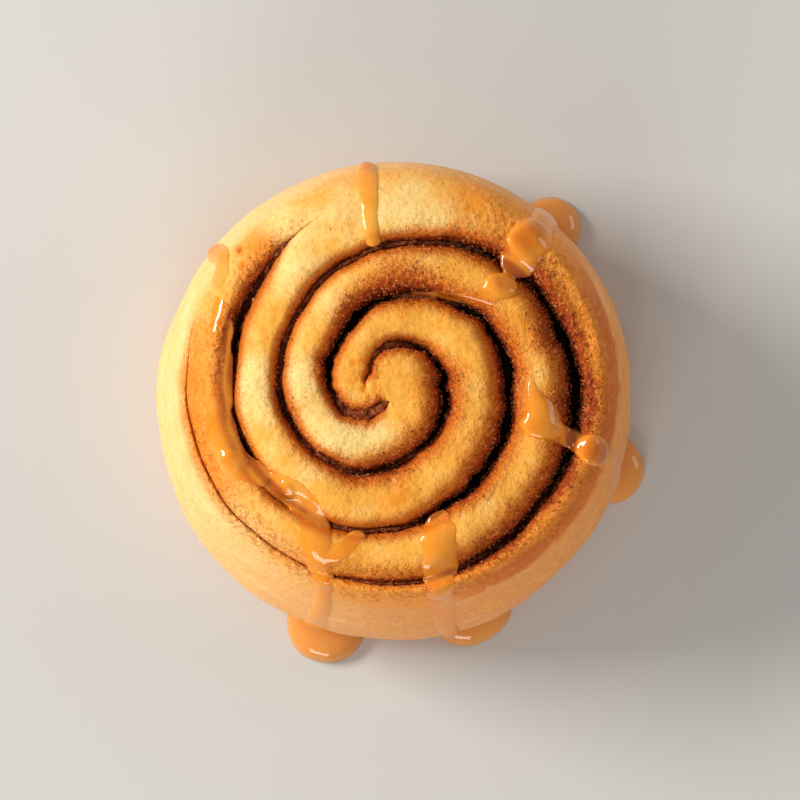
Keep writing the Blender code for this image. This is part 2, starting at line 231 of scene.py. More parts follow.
def grooveRadius(groove, turned):
    angle = np.radians(groove["startDegrees"] - 360.0 * turned)
    past = turned - groove["spiralFrom"]
    wound = groove["spiralFrom"] + 0.5 * (past + np.sqrt(past**2 + swirl["easeIn"] ** 2))
    radius = groove["firstRadius"] + groove["pitch"] * wound + groove["pitchGrowth"] * wound**2
    bend = sum(tall * np.sin(rate * angle + groove["pitch"] * shift) for rate, tall, shift in swirl["waves"])
    radius = radius + swirl["wander"] * bend * np.clip(radius / swirl["wavesWholeAt"], 0.0, 1.0)
    return radius + groove["oval"] * np.cos(2.0 * (angle - swirl["ovalDirection"]))


def swirlPoint(angle, radius):
    share = smoothStep(0.0, swirl["blendRadius"], radius)[..., None]
    centre = swirl["eye"] * (1.0 - share) + swirl["outerCentre"] * share
    return centre + radius[..., None] * np.stack([np.cos(angle), np.sin(angle)], axis=-1)


def groovePoint(groove, turned):
    angle = np.radians(groove["startDegrees"] - 360.0 * turned)
    return swirlPoint(angle, grooveRadius(groove, turned))


def presence(groove, turned):
    # 0 where the groove hasn't begun or has closed, 1 where it is whole
    begun = smoothStep(groove["from"], groove["begunBy"], turned) ** groove["tipPower"]
    return begun * (1.0 - smoothStep(groove["fadeFrom"], groove["turns"], turned))


def addObject(name, data):
    made = bpy.data.objects.new(name, data)
    bpy.context.scene.collection.objects.link(made)
    return made


def meshObject(name, points, faces):
    mesh = bpy.data.meshes.new(name)
    mesh.from_pydata([tuple(p) for p in points], [], faces)
    mesh.update()
    return addObject(name, mesh)


@contextmanager
def edited(mesh):
    shape = bmesh.new()
    shape.from_mesh(mesh)
    yield shape
    shape.to_mesh(mesh)
    shape.free()


def tidyMesh(made):
    sameSpot = 0.001 * mm
    with edited(made.data) as shape:
        bmesh.ops.remove_doubles(shape, verts=shape.verts, dist=sameSpot)
        bmesh.ops.dissolve_degenerate(shape, edges=shape.edges, dist=sameSpot)
        bmesh.ops.recalc_face_normals(shape, faces=shape.faces)
        if shape.calc_volume(signed=True) < 0.0:
            bmesh.ops.reverse_faces(shape, faces=shape.faces)
    made.data.update()


def paint(made, name, values):
    layer = made.data.attributes.new(name, "FLOAT", "POINT")
    layer.data.foreach_set("value", np.asarray(values, np.float32))


def bakeModifiers(made):
    graph = bpy.context.evaluated_depsgraph_get()
    mesh = bpy.data.meshes.new_from_object(made.evaluated_get(graph))
    made.modifiers.clear()
    made.data = mesh


# Dough: one long swept skin. Rows follow the turn of the swirl, columns run from each groove to the next.
doughMesh = {
    "rowsPerTurn": 420,
    "firstTurn": -1.38,
    "closeTurns": 0.2,
    "ringHeights": (27.9 * mm, 30.4 * mm),
    "ringDistance": 0.3 * mm,
    "eyeDistance": 0.12 * mm,
    "evenRows": 5,
    "lastTurn": 2.14,
    "edgeDistance": 53.0 * mm,
    "flankColumns": 8,
    "crownColumns": 8,
    "grooveDepth": 11.0 * mm,
    "round": 2.0 * mm,
    "sideRows": 27,
    "sideSpacing": 1.15,
    "baseRings": 5,
    # relief fades out between these drops below the crowns, and the crumb between these distances
    "reliefDrops": (9.0 * mm, 4.0 * mm),
    "crumbReach": (4.0, 0.6),
}
# the gaps between the crowns
gapWalls = {
    "least": 0.03 * mm,
    "narrowed": 0.8,
    "ragged": 0.42,
    "raggedWholeAt": 0.4 * mm,
    "deepFrom": (0.04 * mm, 0.14 * mm),
    "slantStep": 0.001,
    "slantRadius": 3.0 * mm,
    "slantLimits": (1.0, 1.5),
}
# the brown stain beside the gaps
stainFade = {
    # bumps that its reach follows: size in mm, height, and what the seed grows by
    "bumps": ((8.0, 0.42, 0), (2.8, 0.25, 1)),
    "reachLimits": (0.35, 1.7),
    "shallowPeak": 0.38,
    "throats": (0.5 * mm, 2.6 * mm),
    "warmBeyond": 1.5 * mm,
}
# relief on the skin: size of the bumps and their height, in mm
doughRelief = {
    "swell": (7.0, 0.42),
    "pucker": (2.6, 0.13),
    "crumb": (1.6, 0.20),
    "ragged": (2.1, 0.22),
    "sideWrinkle": (7.0, 0.30),
    # bumps that make a gap's wall ragged: times that size, times that height, and what the seed grows by
    "raggedBumps": ((1.0, 1.0, 0), (2.7, 0.6, 3), (0.55, 0.5, 5)),
}
# places on the roll's top: x, y and reach in mm, then strength, which is a depth in mm for a dent
marks = {
    "browned": (
        (-30.0, 36.0, 4.5, 1.2), (-33.5, 29.5, 3.5, 0.7), (-42.5, 5.0, 4.5, 0.6), (1.0, 31.0, 6.5, 0.5),
        (-47.0, 6.0, 3.6, 0.9), (-46.6, -3.0, 3.6, 0.9), (-45.0, -12.0, 3.4, 0.8), (0.5, -21.0, 5.0, 0.7),
        (13.0, 29.0, 5.0, 0.6), (47.5, 6.0, 6.5, 0.6), (45.5, -20.0, 6.0, 0.5), (-35.4, 35.6, 1.1, 1.6),
        (-34.6, 32.0, 0.9, 1.3), (36.0, -28.0, 6.0, 0.5), (10.5, 17.6, 0.5, 1.1), (2.2, 20.3, 0.45, 1.2),
        (-20.2, 3.0, 0.4, 1.2), (-8.9, 9.6, 0.9, 1.3), (-7.4, 10.2, 1.0, 1.0), (-6.5, 3.6, 0.9, 1.1),
        (-5.2, 1.9, 0.9, 1.0), (-3.6, 2.6, 0.8, 0.7), (27.5, 8.0, 5.0, 0.35), (-12.0, -42.5, 6.0, 0.35),
        (24.0, -38.0, 6.5, 0.5),
    ),
    "palest": (
        (-31.0, 4.0, 9.0, 1.0), (-23.0, 30.0, 8.0, 0.8), (4.0, 45.0, 12.0, 0.9), (-14.0, -6.5, 7.0, 1.1),
        (-20.0, 6.0, 5.5, 0.9), (-4.0, -8.5, 6.0, 0.6), (1.0, -35.0, 8.0, 0.3), (-27.0, -27.0, 8.0, 0.15),
        (-9.0, 24.0, 7.0, 0.35), (31.0, 8.0, 6.0, 0.15), (27.0, -18.0, 8.0, 0.15), (17.0, -29.0, 7.0, 0.2),
        (-22.0, -14.0, 6.0, 0.5), (10.0, 17.0, 6.0, 0.1), (-31.0, -33.0, 8.0, 0.5), (-37.5, -25.0, 7.0, 0.6),
        (-21.0, -40.5, 7.0, 0.5), (-26.0, 44.0, 9.0, 0.7), (-38.5, 32.0, 6.0, 0.5), (-43.0, 22.0, 6.0, 0.4),
        (12.0, -44.0, 7.0, 0.3), (-12.0, 46.0, 8.0, 0.5), (30.0, 36.0, 7.0, 0.3),
    ),
    "dented": (
        (-6.5, 3.6, 0.9, 0.45), (-5.2, 1.9, 0.9, 0.35), (-3.6, 2.6, 0.8, 0.25), (-8.9, 9.6, 0.8, 0.35),
        (-38.5, 33.5, 1.8, 0.5), (-34.6, 32.0, 1.0, 0.5), (-35.4, 35.6, 1.2, 0.5), (-20.0, 42.0, 2.5, 0.3),
        (44.0, 14.0, 2.2, 0.4), (43.0, -20.0, 2.4, 0.4), (30.0, -33.0, 2.6, 0.4), (4.0, -45.0, 2.2, 0.3),
    ),
    # wetted by a thin glaze
    "glazed": (
        (-33.5, 6.0, 4.5, 0.9), (-33.6, -1.0, 4.5, 1.0), (-31.5, -8.0, 4.5, 0.9), (-27.5, -14.0, 4.0, 0.7),
        (-20.0, -21.0, 5.0, 0.9), (-12.0, -23.5, 5.0, 1.0), (-4.0, -24.5, 5.0, 0.9), (4.0, -24.0, 4.5, 0.8),
        (12.0, -21.0, 4.5, 0.6), (-40.5, 28.0, 4.5, 0.9), (-41.5, 18.0, 4.5, 0.9), (-42.0, 8.0, 5.0, 0.8),
        (-41.5, -3.0, 5.0, 0.9), (-24.0, 44.0, 5.0, 0.7), (-14.0, 43.0, 5.0, 0.5), (-7.0, 42.0, 4.0, 0.7),
        (27.0, 33.0, 6.0, 0.7), (20.0, 27.0, 4.0, 0.7), (33.0, 1.0, 5.0, 0.6), (13.0, -33.0, 5.0, 0.5),
        (-15.0, -38.0, 5.0, 0.7), (-24.0, -22.0, 5.0, 0.8), (20.0, 6.0, 6.0, 0.5), (16.0, 16.0, 5.0, 0.5),
    ),
}


def marked(places, name):
    total = np.zeros(len(places))
    for x, y, reach, strength in marks[name]:
        away = np.linalg.norm(places[:, :2] / mm - (x, y), axis=1)
        total += strength * np.exp(-((away / reach) ** 2))
    return total


def edgeRadius(angle):
    # radius from the swirl's centre at which the top face hands over to the side
    radius = np.full_like(angle, doughMesh["edgeDistance"])
    for _ in range(12):
        reach = np.linalg.norm(swirlPoint(angle, radius) - roll["lean"], axis=-1)
        radius = radius + doughMesh["edgeDistance"] - reach
    return radius


def begunShare(groove, turned):
    # the rows before a groove's start close towards the eye
    return np.clip(1.0 + (turned - groove["from"]) / doughMesh["closeTurns"], 0.0, 1.0)


def radiusA(turned, angle):
    radius = grooveRadius(grooveA, np.clip(turned, grooveA["from"], None)) * begunShare(grooveA, turned)
    leave = smoothStep(grooveA["turns"], doughMesh["lastTurn"], turned)
    return radius * (1.0 - leave) + edgeRadius(angle) * leave


def radiusB(turned, inner, outer):
    radius = grooveRadius(grooveB, np.clip(turned, grooveB["from"], grooveB["turns"]))
    radius = radius * begunShare(grooveB, turned)
    kept = np.clip((radius - inner) / np.maximum(outer - inner, 1e-9), 0.0, 1.0)
    atEnd = turned <= grooveB["turns"]
    share = np.where(atEnd, kept, kept[atEnd][-1])
    return inner + (outer - inner) * share


def gapAt(groove, turned, seed):
    # half width of the gap on one side, ragged along its length
    least = gapWalls["least"]
    spots = np.column_stack([groovePoint(groove, turned), turned * 0.0])
    size, height = doughRelief["ragged"]
    rough = 0.0
    for wider, taller, step in doughRelief["raggedBumps"]:
        rough = rough + taller * grain(spots, wider * size * mm, seed + step)
    half = gapWalls["narrowed"] * along(groove, "gap", turned)
    grown = height * mm * rough * np.clip(half / gapWalls["raggedWholeAt"], 0.0, 1.0)
    ragged = half * (1.0 + gapWalls["ragged"] * rough) + grown
    return least + presence(groove, turned) * np.clip(ragged, least, None)


def evenedAlong(values):
    # running mean over the rows near each row
    steps = doughMesh["evenRows"]
    count = 2 * steps + 1
    return np.convolve(np.pad(values, steps, mode="edge"), np.full(count, 1.0 / count), "valid")


def bandColumns(inner, outer, left, right):
    # radius and drop below the crowns for each column from one groove to the next
    width = outer - inner
    columns = []
    for gap, mouth, throat, depth, side in (left, right):
        gap = np.minimum(gap, 0.3 * width)
        mouth = np.clip(np.minimum(mouth, 0.46 * width - gap), 0.0, None)
        even = evenedAlong(gap)
        own = [(0.0 * gap, depth), (0.85 * gap, 0.98 * depth), (gap, 0.5 * (depth + throat)), (gap, throat)]
        for k in range(1, doughMesh["flankColumns"] + 1):
            turn = 0.5 * math.pi * k / doughMesh["flankColumns"]
            wall = even + (gap - even) * math.cos(turn) ** 2
            own.append((wall + mouth * (1.0 - math.cos(turn)), throat * (1.0 - math.sin(turn))))
        columns.append([(offset if side > 0 else width - offset, drop) for offset, drop in own])

    def sinking(place):
        # crowns stay a little round between their shoulders
        share = 2.0 * place / np.maximum(width, 1.0 * mm) - 1.0
        throat = np.where(share < 0.0, left[2], right[2])
        return doughMesh["round"] * np.clip(share, -1.0, 1.0) ** 2 * np.clip(throat / (2.0 * mm), 0.0, 1.0)

    columns = [[(place, drop + sinking(place)) for place, drop in own] for own in columns]
    start, end = columns[0][-1][0], columns[1][-1][0]
    crown = []
    for k in range(1, doughMesh["crownColumns"] + 1):
        share = k / (doughMesh["crownColumns"] + 1.0)
        place = start + (end - start) * share
        crown.append((place, sinking(place)))
    return columns[0] + crown + columns[1][::-1]


def rowTurns():
    turns = doughMesh["lastTurn"] - doughMesh["firstTurn"]
    count = round(turns * doughMesh["rowsPerTurn"])
    return doughMesh["firstTurn"] + np.arange(count + 1) / doughMesh["rowsPerTurn"]


def doughTop():
    turned = rowTurns()
    angle = np.radians(grooveA["startDegrees"] - 360.0 * turned)
    turnedB = turned + (grooveB["startDegrees"] - grooveA["startDegrees"]) / 360.0
    inner = radiusA(turned, angle)
    outer = radiusA(turned + 1.0, angle)
    middle = radiusB(turnedB, inner, outer)

    def edge(groove, at, seed, side):
        # one side of a groove, wider along the radius where the groove runs aslant to it
        there = presence(groove, at)
        mouth = along(groove, "mouthIn" if side < 0 else "mouthOut", at)
        step = gapWalls["slantStep"]
        here = grooveRadius(groove, at)
        around = step * math.tau * np.clip(here, gapWalls["slantRadius"], None)
        climb = np.abs(grooveRadius(groove, at + step) - here) / around
        slant = np.clip(np.sqrt(1.0 + climb**2), *gapWalls["slantLimits"])
        gap = gapAt(groove, at, seed) * slant
        throat = along(groove, "throat", at) * there
        opened = smoothStep(*gapWalls["deepFrom"], along(groove, "gap", at)) * there
        floor = throat + (doughMesh["grooveDepth"] - throat) * opened
        return gap, mouth * slant, throat, floor, side

    bandP = bandColumns(inner, middle, edge(grooveA, turned, 1, 1), edge(grooveB, turnedB, 2, -1))
    bandQ = bandColumns(middle, outer, edge(grooveB, turnedB, 3, 1), edge(grooveA, turned + 1.0, 4, -1))
    columns = [(inner + offset, drop) for offset, drop in bandP]
    columns += [(middle + offset, drop) for offset, drop in bandQ[1:]]
    radius, drop = (np.stack(part, axis=1) for part in zip(*columns))
    halfP = len(bandP)
    # distance outwards from the nearest gap's wall, negative down inside it
    fromGap = np.zeros_like(radius)
    for first, last, left, right in (
        (0, halfP, presence(grooveA, turned), presence(grooveB, turnedB)),
        (halfP - 1, len(columns), presence(grooveB, turnedB), presence(grooveA, turned + 1.0)),
    ):
        block = radius[:, first:last]
        fromLeft = block - block[:, 3:4] + 10.0 * mm * (1.0 - left[:, None])
        fromRight = block[:, -4:-3] - block + 10.0 * mm * (1.0 - right[:, None])
        fromGap[:, first:last] = np.minimum(fromLeft, fromRight)
    return turned, turnedB, angle, radius, drop, fromGap, halfP


def mergeRing(made):
    # the last turn thins out where the top hands over to the side, so its slivers are joined there
    low, high = doughMesh["ringHeights"]
    reach = doughMesh["eyeDistance"]
    with edited(made.data) as shape:
        ring = [v for v in shape.verts if low < v.co.z < high]
        bmesh.ops.remove_doubles(shape, verts=ring, dist=doughMesh["ringDistance"])
        # and the first rows all begin in one point in the middle of the eye
        eye = [v for v in shape.verts if v.co.z > low and math.dist(v.co.xy, swirl["eye"]) < reach]
        bmesh.ops.remove_doubles(shape, verts=eye, dist=2.0 * reach)


def stainOn(turned, turnedB, radius, halfP):
    # how strongly the nearest groove's filling has coloured each place, closely and widely
    width = radius.shape[1]
    stain = np.zeros_like(radius)
    warm = np.zeros_like(radius)
    for first, last, left, right in (
        (0, halfP, (grooveA, turned), (grooveB, turnedB)),
        (halfP, width, (grooveB, turnedB), (grooveA, turned + 1.0)),
    ):
        block = radius[:, first:last]
        for (groove, turn), reach, gap, seed in (
            (left, "stainOut", block - evenedAlong(radius[:, first + 3])[:, None], 31),
            (right, "stainIn", evenedAlong(radius[:, last - 4])[:, None] - block, 41),
        ):
            there = presence(groove, turn)[:, None]
            gap = np.clip(gap, 0.0, None)
            track = groovePoint(groove, np.clip(turn, groove["from"], groove["turns"]))
            track = np.column_stack([track, 0.0 * turn])
            vary = 1.0
            for size, tall, step in stainFade["bumps"]:
                vary = vary + tall * grain(track, size * mm, seed + step)
            spread = (along(groove, reach, turn) * np.clip(vary, *stainFade["reachLimits"]))[:, None]
            deep = smoothStep(*stainFade["throats"], along(groove, "throat", turn)[:, None])
            peak = stainFade["shallowPeak"] + (1.0 - stainFade["shallowPeak"]) * deep
            for field, most, wide in ((stain, peak, spread), (warm, 1.0, spread + stainFade["warmBeyond"])):
                field[:, first:last] = np.maximum(field[:, first:last], most * there * np.exp(-gap / wide))
    return stain, warm


def sideRings(around):
    # points of the side from the rim down and then of the base inwards, ring by ring
    perTurn = len(around)
    edgeHeight = crownHeightAt(np.array([doughMesh["edgeDistance"]]))[0]
    size, tall = doughRelief["sideWrinkle"]
    rings = []
    for k in range(1, doughMesh["sideRows"] + 1):
        share = k / doughMesh["sideRows"]
        height = np.full(perTurn, edgeHeight * (1.0 - share) ** doughMesh["sideSpacing"])
        ring = sideRadius(height)[:, None] * around
        spot = np.column_stack([ring, height])
        bulge = roll["unevenSide"] * np.array([noise.noise(Vector(p) / roll["unevenLength"]) for p in spot])
        bulge = bulge + tall * mm * grain(spot * np.array((1.0, 1.0, 0.6)), size * mm, 14)
        fade = min(1.0, 5.0 * share)
        ring = ring + around * (bulge * fade)[:, None] + leanAt(height)
        rings.append(np.column_stack([ring, height]))
    foot = rings[-1]
    for k in range(1, doughMesh["baseRings"] + 1):
        share = 1.0 - k / (doughMesh["baseRings"] + 1.0)
        rings.append(np.column_stack([foot[:, :2] * share, np.zeros(perTurn)]))
    return rings


def buildDough():
    turned, turnedB, angle, radius, drop, fromGap, halfP = doughTop()
    rows, width = radius.shape
    nominal = swirlPoint(np.repeat(angle[:, None], width, axis=1), radius).reshape(-1, 2)
    flatDrop = drop.reshape(-1)
    distance = np.linalg.norm(nominal - roll["lean"], axis=1)
    high = topAt(nominal)
    # the body leans, so past the rim its surface stands a little nearer to the middle of the base
    places = nominal + (leanAt(high) - roll["lean"]) * (distance > roll["rimRadius"])[:, None]
    high = high - flatDrop
    spots = np.column_stack([places, high])
    onTop = smoothStep(*doughMesh["reliefDrops"], flatDrop)
    nearGap = smoothStep(*doughMesh["crumbReach"], fromGap.reshape(-1) / mm) * onTop
    for name, where, seed in (("swell", onTop, 11), ("pucker", onTop, 12), ("crumb", nearGap, 13)):
        size, tall = doughRelief[name]
        high = high + where * tall * mm * grain(spots, size * mm, seed)
    top = np.column_stack([places, high - mm * marked(spots, "dented")])
    perTurn = doughMesh["rowsPerTurn"]

    def vertex(row, column):
        # the last column of a row is the first column of the row one turn later
        if column == width - 1 and row + perTurn < rows:
            return (row + perTurn) * width
        return row * width + column

    faces = []
    for row in range(rows - 1):
        for column in range(width - 1):
            near = (vertex(row, column), vertex(row + 1, column))
            faces.append(near + (vertex(row + 1, column + 1), vertex(row, column + 1)))

    # the side and the base go on from the outermost turn's last column
    rim = [vertex(row, width - 1) for row in range(rows - 1 - perTurn, rows - 1)]
    around = nominal[rim] - roll["lean"]
    below = sideRings(around / np.linalg.norm(around, axis=1)[:, None])
    middle = len(top) + len(below) * perTurn
    rings = [rim] + [list(range(start, start + perTurn)) for start in range(len(top), middle, perTurn)]
    for upper, lower in zip(rings, rings[1:]):
        for i in range(perTurn):
            j = (i + 1) % perTurn
            faces.append((upper[i], lower[i], lower[j], upper[j]))
    faces += [(rings[-1][i], middle, rings[-1][(i + 1) % perTurn]) for i in range(perTurn)]
    made = meshObject("baked_dough", np.concatenate([top, *below, np.zeros((1, 3))]), faces)

    stain, warm = stainOn(turned, turnedB, radius, halfP)
    onSide = middle + 1 - len(top)
    fields = {"stain": stain.reshape(-1), "warm": warm.reshape(-1), "depth": flatDrop / mm}
    for name in ("browned", "palest", "glazed"):
        fields[name] = marked(top, name)
    for name, values in fields.items():
        paint(made, name, np.concatenate([values, np.zeros(onSide)]))
    rimShare = np.concatenate([distance, np.full(onSide, roll["outlineRadius"])]) / roll["rimRadius"]
    paint(made, "rimShare", rimShare)
    tidyMesh(made)
    mergeRing(made)
    made.data.shade_smooth()
    return made


# Filling: a wall of paste along each groove, with a grainy top that shows between the crowns
fillingMesh = {
    "stepLength": 0.4 * mm,
    "halfFoot": 0.7 * mm,
    "footDepth": 0.04 * mm,
    "endInset": 0.3 * mm,
    "leastWidth": 0.15,
    "topBelow": 0.3 * mm,
    "shoulder": 1.2 * mm,
    "neck": 1.0 * mm,
    "topColumns": 9,
    "edgeBury": 0.25 * mm,
    "dome": 1.4 * mm,
    "buriedEnd": 2.0 * mm,
    "fromSide": 2.5 * mm,
    "lumps": (1.3, 0.65),
    "grit": (0.55, 0.36),
}


def lengthAlong(track):
    return np.concatenate([[0.0], np.cumsum(np.linalg.norm(np.diff(track, axis=0), axis=1))])


def acrossOf(ahead):
    # unit directions to the left of these
    ahead = ahead / np.linalg.norm(ahead, axis=1)[:, None]
    return np.stack([-ahead[:, 1], ahead[:, 0]], axis=1)


def buildFilling(name, groove, seed):
    far = np.linspace(groove["from"], groove["turns"], 4001)
    track = groovePoint(groove, far)
    length = lengthAlong(track)
    stations = int(length[-1] / fillingMesh["stepLength"])
    inset = fillingMesh["endInset"]
    turned = np.interp(np.linspace(inset, length[-1] - inset, stations), length, far)
    centre = groovePoint(groove, turned)
    across = acrossOf(groovePoint(groove, turned + 0.0005) - groovePoint(groove, turned - 0.0005))
    there = presence(groove, turned)
    depth = along(groove, "paste", turned)
    lift = np.clip(1.0 - depth / along(groove, "throat", turned), 0.0, 1.0)
    opened = 1.0 - np.cos(np.arcsin(lift))
    foot = fillingMesh["halfFoot"]
    wide = []
    for mouth in ("mouthIn", "mouthOut"):
        reach = along(groove, "gap", turned) + along(groove, mouth, turned) * opened + fillingMesh["edgeBury"]
        wide.append(foot + (reach - foot) * np.clip(there, fillingMesh["leastWidth"], 1.0))
    surface = topAt(centre)
    below = fillingMesh["topBelow"] + depth
    topHeight = surface - fillingMesh["buriedEnd"] * (1.0 - there) - below * there
    columns = []
    for side, reach in ((-1.0, wide[0]), (1.0, wide[1])):
        still = 0.0 * reach
        column = [(side * foot + still, -fillingMesh["footDepth"] + still)]
        column.append((side * foot + still, topHeight - fillingMesh["shoulder"] - fillingMesh["neck"]))
        column.append((side * reach, topHeight - 0.5 * fillingMesh["shoulder"]))
        columns.append(column)
    top = []
    count = fillingMesh["topColumns"]
    for k in range(count):
        share = (k + 1) / (count + 1)
        dome = fillingMesh["dome"] * share * (1.0 - share)
        top.append((wide[1] * share - wide[0] * (1.0 - share), topHeight + dome))
    loop = columns[0] + top + columns[1][::-1]
    size = len(loop)
    points = [np.column_stack([centre + across * offset[:, None], high]) for offset, high in loop]
    flat = np.stack(points, axis=1).reshape(-1, 3)
    # the wall stays inside the roll's side
    middle = leanAt(flat[:, 2])
    out = flat[:, :2] - middle
    far = np.linalg.norm(out, axis=1)
    limit = np.where(flat[:, 2] < roll["rimHeight"], sideRadius(flat[:, 2]) - fillingMesh["fromSide"], far)
    flat[:, :2] = middle + out * np.minimum(1.0, limit / np.maximum(far, 1e-9))[:, None]
    crust = np.zeros(size)
    crust[3:-3] = 1.0
    crust[2] = crust[-3] = 0.5
    crust = np.tile(crust, stations)
    for bumpSize, tall in (fillingMesh["lumps"], fillingMesh["grit"]):
        flat[:, 2] += crust * tall * mm * grain(flat, bumpSize * mm, seed)
    faces = []
    for i in range(stations - 1):
        for k in range(size):
            m = (k + 1) % size
            faces.append((i * size + k, i * size + m, (i + 1) * size + m, (i + 1) * size + k))
    faces.append(tuple(range(size))[::-1])
    faces.append(tuple((stations - 1) * size + k for k in range(size)))
    made = meshObject(name, flat, faces)
    paint(made, "depth", np.repeat(depth / mm, size))
    tidyMesh(made)
    made.data.shade_smooth()
    return made


# Caramel: films, drops and streams drawn on the roll's skin as if it were unrolled flat, where the side
# goes on outwards past the rim. Places are in mm from the middle of the top, as the roll is seen.
caramel = {
    "bury": 0.7 * mm,
    "stepLength": 0.5 * mm,
    "columns": 11,
    "rings": 7,
    "spokes": 40,
    "edgeSink": 0.12 * mm,
    # a stream's banks and its thickness vary: size in mm and height of the bumps
    "banks": (3.2, 0.16),
    "uneven": (4.0, 0.15),
    "roundness": 0.8,
    "endThickness": 0.35,
    "endHalf": 0.02 * mm,
    "dropRoundness": 2.6,
    "dropRagged": 0.10,
    "ringSpacing": 0.7,
    # bumps of a drop's ragged edge: their size and weight
    "edgeBumps": ((0.7, 1.0), (0.3, 0.4)),
    # how often a stream's and a drop's sag into the grooves is evened out
    "streamEvened": 3,
    "dropEvened": 4,
    "voxel": 0.4 * mm,
    "smoothSteps": 5,
    # how far each stream sags into a groove, then its path: x, y, half width, thickness
    "streams": {
        "top": (1.2, (
            (-4.7, 36.2, 2.2, 1.0), (-4.9, 39.6, 2.0, 0.8), (-5.4, 45.5, 2.3, 0.7), (-5.8, 51.0, 2.8, 0.8),
            (-6.4, 56.5, 3.0, 1.2), (-6.8, 61.0, 2.4, 1.4),
        )),
        "back right": (2.2, (
            (26.0, 30.0, 4.4, 1.1), (29.4, 34.4, 5.0, 1.2), (32.0, 38.8, 4.7, 1.3), (35.6, 43.6, 3.6, 1.1),
            (42.0, 51.5, 3.5, 1.1), (52.0, 62.5, 3.6, 1.1), (63.0, 73.0, 3.8, 1.3),
        )),
        "string": (3.6, (
            (26.0, 28.4, 2.6, 0.9), (20.6, 24.6, 2.6, 0.5), (16.0, 24.6, 1.3, 0.5), (9.0, 25.6, 0.8, 0.4),
            (4.0, 25.8, 0.5, 0.3),
        )),
        "right": (1.6, (
            (31.6, 6.2, 0.9, 0.3), (32.2, 2.6, 2.0, 0.6), (33.4, -1.2, 3.9, 0.9), (34.2, -5.0, 5.2, 1.1),
            (34.4, -7.2, 5.4, 1.0),
        )),
        "right crossing": (2.6, (
            (36.0, -5.6, 2.8, 0.9), (40.5, -7.4, 2.4, 0.6), (45.0, -9.8, 3.2, 1.2),
        )),
        "right side": (1.4, (
            (46.8, -11.0, 3.6, 1.0), (52.0, -13.2, 4.0, 0.7), (62.0, -17.8, 3.8, 0.6),
            (72.0, -21.6, 3.4, 0.9), (82.0, -25.0, 3.8, 1.2),
        )),
        "front right": (2.2, (
            (11.8, -24.0, 2.2, 0.3), (11.0, -28.0, 3.8, 0.7), (10.4, -32.0, 4.6, 1.1),
            (10.6, -36.6, 4.4, 0.9), (11.0, -41.0, 3.9, 1.0), (11.6, -46.6, 3.5, 0.7),
            (13.2, -53.0, 3.2, 0.6), (16.0, -61.0, 2.6, 0.8), (18.6, -66.0, 2.0, 1.6),
            (24.0, -79.0, 2.4, 0.8), (26.0, -86.0, 3.6, 1.2),
        )),
        "front": (2.4, (
            (-30.4, -16.6, 2.4, 0.5), (-25.6, -18.8, 3.2, 0.75), (-21.0, -22.0, 3.8, 0.55),
            (-18.4, -27.0, 4.0, 0.6), (-17.8, -32.0, 3.8, 0.9), (-16.6, -38.0, 3.1, 0.85),
            (-16.6, -44.0, 2.8, 0.8), (-18.6, -52.0, 2.7, 0.6), (-22.0, -62.0, 2.7, 0.55),
            (-25.6, -73.0, 3.0, 0.7), (-28.6, -84.0, 3.8, 1.2),
        )),
        "front branch": (1.8, (
            (-16.0, -36.0, 2.4, 0.6), (-11.6, -33.2, 2.6, 0.4), (-6.4, -29.4, 1.8, 0.25),
        )),
        "left": (1.6, (
            (-47.6, 42.4, 2.6, 1.7), (-44.4, 38.8, 3.0, 1.2), (-40.4, 34.4, 2.8, 0.8),
            (-39.4, 27.0, 2.8, 0.25), (-39.8, 17.0, 3.0, 0.22), (-40.2, 8.0, 3.4, 0.3),
            (-40.2, -1.0, 3.6, 0.4), (-38.8, -8.0, 3.8, 0.7), (-36.0, -13.4, 3.9, 0.9),
            (-32.4, -15.6, 3.2, 0.6), (-28.4, -17.6, 2.8, 0.6),
        )),
    },
    # drops and films: x, y, the two radii, turn in degrees, thickness, how far they sag into a groove
    "drops": (
        (30.4, 38.0, 4.8, 3.6, 15.0, 1.6, 1.2), (24.6, 27.4, 4.3, 2.9, -20.0, 1.4, 1.4),
        (34.2, -5.0, 5.6, 2.9, -8.0, 1.3, 1.4), (45.8, -10.4, 4.3, 3.7, -25.0, 1.7, 1.0),
        (-36.8, -12.8, 4.0, 2.9, -20.0, 1.3, 1.2), (-24.6, -19.2, 2.7, 1.8, -35.0, 1.4, 1.6),
    ),
    # above this height the sauce lies on the top
    "topFrom": 36.0 * mm,
    # rays that look for the dough start so far above a place, or at this height
    "castAbove": 5.0 * mm,
    "castFrom": 60.0 * mm,
    # how far colours of what lies under the sauce are spread, in steps of the mesh
    "blurSteps": 8,
    "blurStepsDeep": 22,
    "shownThrough": ("stain", "warm", "rimShare", "browned", "palest", "depth"),
}


def unrolled(flat):
    # the place on the roll's skin for a point of the flat drawing
    out = flat - roll["lean"]
    far = np.linalg.norm(out, axis=1)
    way = out / np.maximum(far, 1e-9)[:, None]
    over = far > roll["rimRadius"]
    height = np.clip(roll["rimHeight"] - (far - roll["rimRadius"]), 0.0, roll["rimHeight"])
    side = leanAt(height) + sideRadius(height)[:, None] * way
    onTop = np.column_stack([flat, topAt(flat)])
    return np.where(over[:, None], np.column_stack([side, height]), onTop)


def skinAt(flat):
    # place and outward direction
    step = 0.4 * mm
    place = unrolled(flat)
    alongX = unrolled(flat + (step, 0.0)) - unrolled(flat - (step, 0.0))
    alongY = unrolled(flat + (0.0, step)) - unrolled(flat - (0.0, step))
    out = np.cross(alongX, alongY)
    return place, out / np.maximum(np.linalg.norm(out, axis=1), 1e-12)[:, None]


